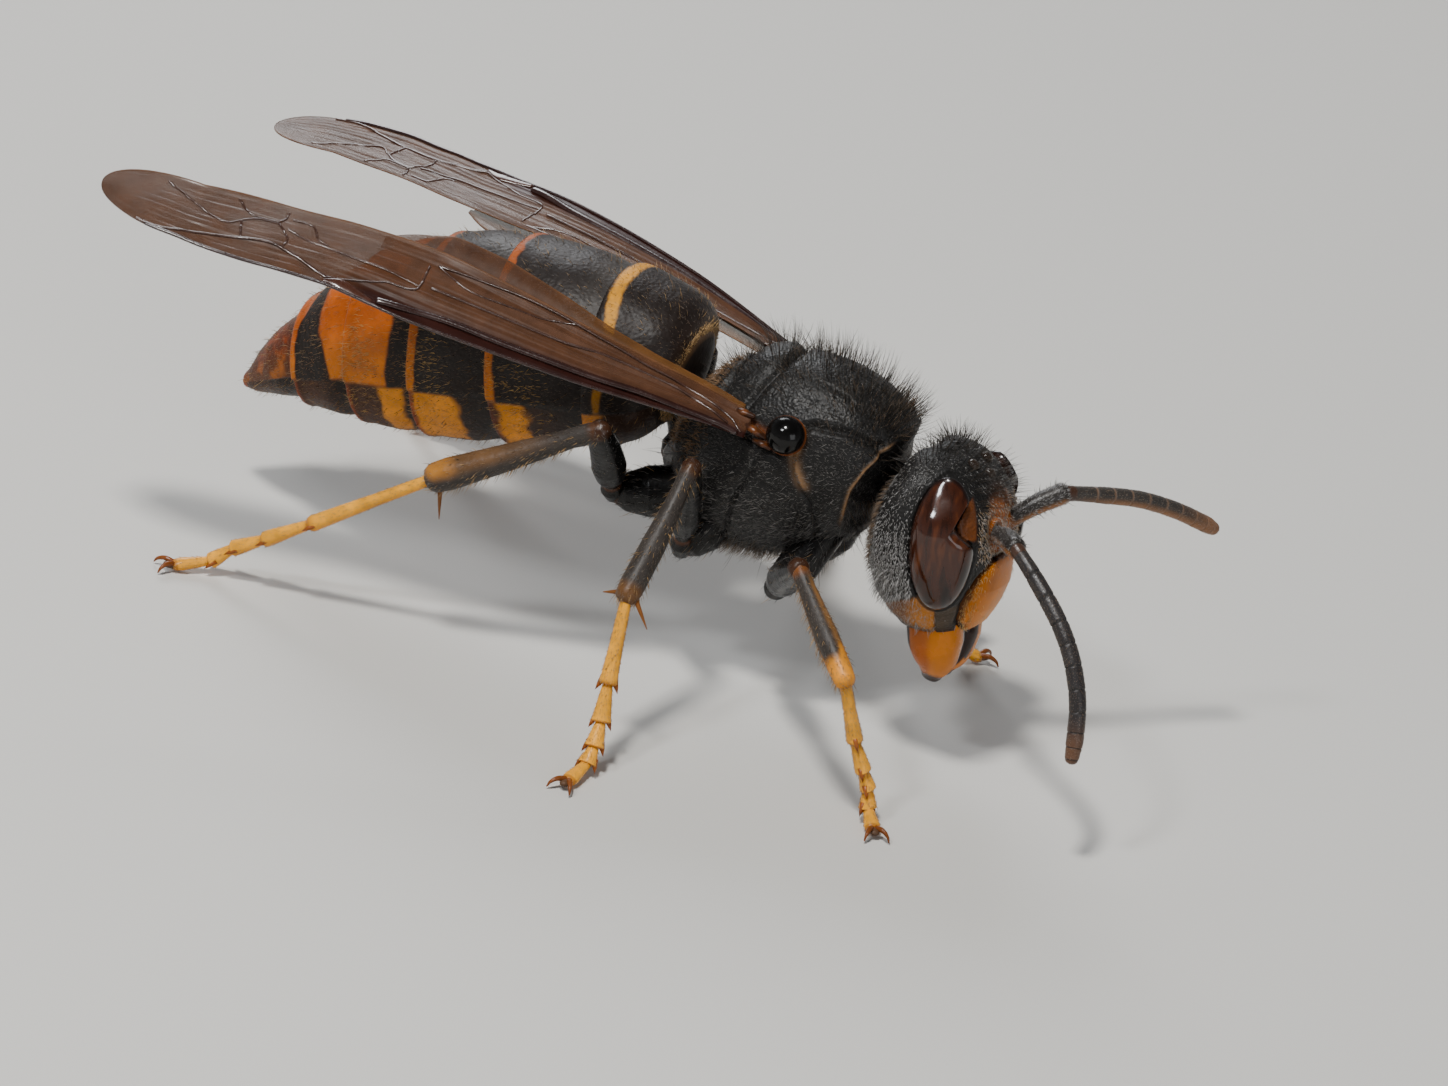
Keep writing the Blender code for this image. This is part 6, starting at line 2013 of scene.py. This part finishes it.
def gaster_fur(rings):
    """Short fur combed to the tail, golden over the dark rings, with some longer hairs that stand up."""
    for index, (grid, normals, own) in enumerate(rings):
        skin = (grid, normals)
        rise = normals[..., 2]
        shown = smooth(0.0, 0.12, own) * np.ones_like(rise)
        coat = Coat(240 + index)
        count = RING_HAIRS[index]
        pale = (BROWN_HAIR, DUSK) if index < 3 else (ORANGE_HAIR, BROWN_HAIR)
        upright = shown * (0.5 + 0.5 * smooth(0.9, 0.2, rise))
        coat.lay(skin, count, upright, 0.11, SLIM, pale, 0.20, 0.4, ruffle=0.25)
        coat.lay(skin, count // 9, shown, 0.26, SLIM, (GOLD_HAIR, DARK_HAIR), 0.62, 0.4, 2, ruffle=0.4)
        if index == 0:
            fringe = bump(own, 0.04, 0.08) * np.ones_like(rise)
            coat.lay(skin, 1500, fringe, 0.15, FINE, (FRINGE_HAIR, GOLD_HAIR), 0.35, 0.4, 2, ruffle=0.4)
        if index in (1, 2, 3):
            sides = smooth(-0.7, -0.3, rise) * smooth(0.5, 0.0, rise) * shown * smooth(0.3, 0.7, own)
            coat.lay(skin, 420, sides, 0.20, FINE, (FLANK_HAIR, GOLD_HAIR), 0.4, 0.4, ruffle=0.4)
        coat.done(f"abdomen_hair_{index + 1}")


# Piece, hairs, length, colours, stand and joints of the hair on each length of the leg
LEG_HAIRS = (
    ("coxa", 260, 0.26, (GREY_HAIR, DUSK), 0.45, 2),
    ("femur", 420, 0.11, (GREY_HAIR, DUSK), 0.30, 1),
    ("tibia", 2300, 0.10, (GREY_HAIR, BROWN_HAIR), 0.15, 1),
)
FOOT_HAIRS = (700, 220, 180, 160, 160)


def leg_fur(name, grids):
    """Pale hairs on the hip, short fur down the leg and fine gold on the foot."""
    coat = Coat(250 + list(LEGS).index(name))
    for place, (piece, count, length, colours, stand, joints) in enumerate(LEG_HAIRS):
        grid = grids[piece]
        skin = (grid, surface_normals(grid))
        span = (0.12 * place, 0.12 * place + 0.11)
        all_over = np.ones(grid.shape[:2])
        coat.lay(skin, count, all_over, length, SLIM, colours, stand, 0.4, joints, 0.15, span)
        long_hair = (GOLD_HAIR, DARK_HAIR)
        coat.lay(skin, count // 14, all_over, length * 2.2, FINE, long_hair, 0.5, 0.4, 2, 0.3, span)
        if piece == "tibia":
            beneath = smooth(0.1, -0.6, skin[1][..., 2])
            coat.lay(skin, 150, beneath, 0.32, FINE, (GOLD_HAIR, BROWN_HAIR), 0.55, 0.3, 2, 0.2, span)
    for place, grid in enumerate(grids["tarsus"]):
        skin = (grid, surface_normals(grid))
        span = (0.40 + 0.12 * place, 0.51 + 0.12 * place)
        all_over = np.ones(grid.shape[:2])
        coat.lay(skin, FOOT_HAIRS[place], all_over, 0.10, THIN, (GOLD_HAIR, TAN), 0.4, 0.4, 1, 0.3, span)
    coat.done(f"leg_hair_{name}")


def feeler_fur(side, base, whip):
    """A fine bloom on the feeler, and longer hairs at its base."""
    coat = Coat(260 + (side == "left"))
    all_over = np.ones(base.shape[:2])
    skin = (base, surface_normals(base))
    coat.lay(skin, 900, all_over, 0.10, THIN, (SILVER, GREY_HAIR), 0.45, 0.4, 1, 0.4, (0.0, 0.4))
    coat.lay(skin, 90, all_over, 0.26, THIN, (GREY_HAIR, DARK_HAIR), 0.8, 0.4, 2, 0.6, (0.0, 0.4))
    skin = (whip, surface_normals(whip))
    all_over = np.ones(whip.shape[:2])
    coat.lay(skin, 3200, all_over, 0.045, WISP, (GREY_HAIR, TAN), 0.45, 0.4, 1, 0.3, (0.45, 0.98))
    coat.done(f"feeler_hair_{side}")


# Setting

FLOOR_HALF = 2.0


def make_floor():
    mesh = bpy.data.meshes.new("pale_floor")
    corners = [(FLOOR_HALF * x, FLOOR_HALF * y, 0) for x, y in ((-1, -1), (1, -1), (1, 1), (-1, 1))]
    mesh.from_pydata(corners, [], [(0, 1, 2, 3)])
    floor = bpy.data.objects.new("pale_floor", mesh)
    bpy.context.scene.collection.objects.link(floor)
    material = bpy.data.materials.new("pale_card")
    material.use_nodes = True
    shader = material.node_tree.nodes["Principled BSDF"]
    shader.inputs["Base Color"].default_value = (0.60, 0.59, 0.56, 1)
    shader.inputs["Roughness"].default_value = 0.7
    mesh.materials.append(material)


def make_world():
    world = bpy.data.worlds.new("pale_room")
    bpy.context.scene.world = world
    world.use_nodes = True
    tree = world.node_tree
    sky = tree.nodes["Background"]
    place = tree.nodes.new("ShaderNodeTexCoord")
    split = tree.nodes.new("ShaderNodeSeparateXYZ")
    wash = tree.nodes.new("ShaderNodeValToRGB")
    wash.color_ramp.elements[0].position = 0.0
    wash.color_ramp.elements[0].color = (0.40, 0.40, 0.41, 1)
    wash.color_ramp.elements[1].position = 0.75
    wash.color_ramp.elements[1].color = (0.06, 0.064, 0.07, 1)
    tree.links.new(place.outputs["Generated"], split.inputs[0])
    tree.links.new(split.outputs["Z"], wash.inputs["Fac"])
    tree.links.new(wash.outputs["Color"], sky.inputs["Color"])


WARM = (1.0, 0.98, 0.95)
COOL = (0.95, 0.97, 1.0)
LIT_POINT = (0.0, 0.0, 0.006)
# Name, place, size and power of each lamp in metres and watts, and its colour
LAMPS = (
    ("key", (-0.03, -0.10, 0.26), 0.034, 0.72, WARM),
    ("fill", (0.22, -0.16, 0.10), 0.14, 0.16, COOL),
    ("side", (-0.07, -0.16, 0.20), 0.030, 0.20, COOL),
    ("rim", (-0.14, 0.20, 0.16), 0.12, 0.40, COOL),
)


def make_lamp(name, place, size, power, colour):
    """A soft square lamp turned to the insect."""
    lamp = bpy.data.lights.new(name, "AREA")
    lamp.size = size
    lamp.energy = power
    lamp.color = colour
    holder = bpy.data.objects.new(name, lamp)
    holder.location = Vector(place)
    holder.rotation_euler = (Vector(LIT_POINT) - Vector(place)).to_track_quat("-Z", "Y").to_euler()
    bpy.context.scene.collection.objects.link(holder)


CAMERA_TURN = 19.0
CAMERA_RISE = 25.0
CAMERA_ROLL = 11.7
CAMERA_AT = np.array((0.0, 0.0, 7.5))
CAMERA_DISTANCE = 200.0
PIXELS_PER_MM = 35.0
PICTURE = (1448.0, 1086.0)
CAMERA_AT_PIXEL = (790.0, 440.0)
SENSOR = 36.0


def camera_axes():
    turn = math.radians(CAMERA_TURN)
    rise = math.radians(CAMERA_RISE)
    roll = math.radians(CAMERA_ROLL)
    back = np.array((math.sin(turn) * math.cos(rise), -math.cos(turn) * math.cos(rise), math.sin(rise)))
    level = np.array((math.cos(turn), math.sin(turn), 0.0))
    above = np.cross(back, level)
    right = level * math.cos(roll) + above * math.sin(roll)
    up = -level * math.sin(roll) + above * math.cos(roll)
    return right, up, back


def make_camera():
    """The photo's view, with its tilt, from above the floor."""
    right, up, back = camera_axes()
    aside = (CAMERA_AT_PIXEL[0] - PICTURE[0] / 2) / PIXELS_PER_MM
    above = (PICTURE[1] / 2 - CAMERA_AT_PIXEL[1]) / PIXELS_PER_MM
    place = (CAMERA_AT + back * CAMERA_DISTANCE - right * aside - up * above + SHIFT) * MM
    lens = bpy.data.cameras.new("camera")
    lens.sensor_width = SENSOR
    lens.lens = SENSOR * CAMERA_DISTANCE / (PICTURE[0] / PIXELS_PER_MM)
    lens.clip_start = 0.01
    camera = bpy.data.objects.new("camera", lens)
    matrix = Matrix((right, up, back)).transposed().to_4x4()
    matrix.translation = Vector(place)
    camera.matrix_world = matrix
    bpy.context.scene.collection.objects.link(camera)
    bpy.context.scene.camera = camera


thorax_skin = make_thorax()
make_neck()
make_waist()
rings = [make_ring(index) for index in range(LAST_RING + 1)]
head_skin, head_flat = make_head()
for side, mirror in (("left", 1.0), ("right", -1.0)):
    make_eye(side, mirror)
    make_jaw(side, mirror)
    make_wing_cap(side, mirror)
shield_skin = make_face_shield()
feelers = {side: (make_feeler_base(side), make_feeler_whip(side)) for side in ("left", "right")}
for side in ("left", "right"):
    make_forewing(side)
    make_hindwing(side)
legs = {name: make_leg(name) for name in LEGS}

thorax_fur(thorax_skin)
head_fur(head_skin, head_flat)
shield_fur(shield_skin)
gaster_fur(rings)
for name, grids in legs.items():
    leg_fur(name, grids)
for side, (base, whip) in feelers.items():
    feeler_fur(side, base, whip)

make_floor()
make_world()
for lamp in LAMPS:
    make_lamp(*lamp)
make_camera()
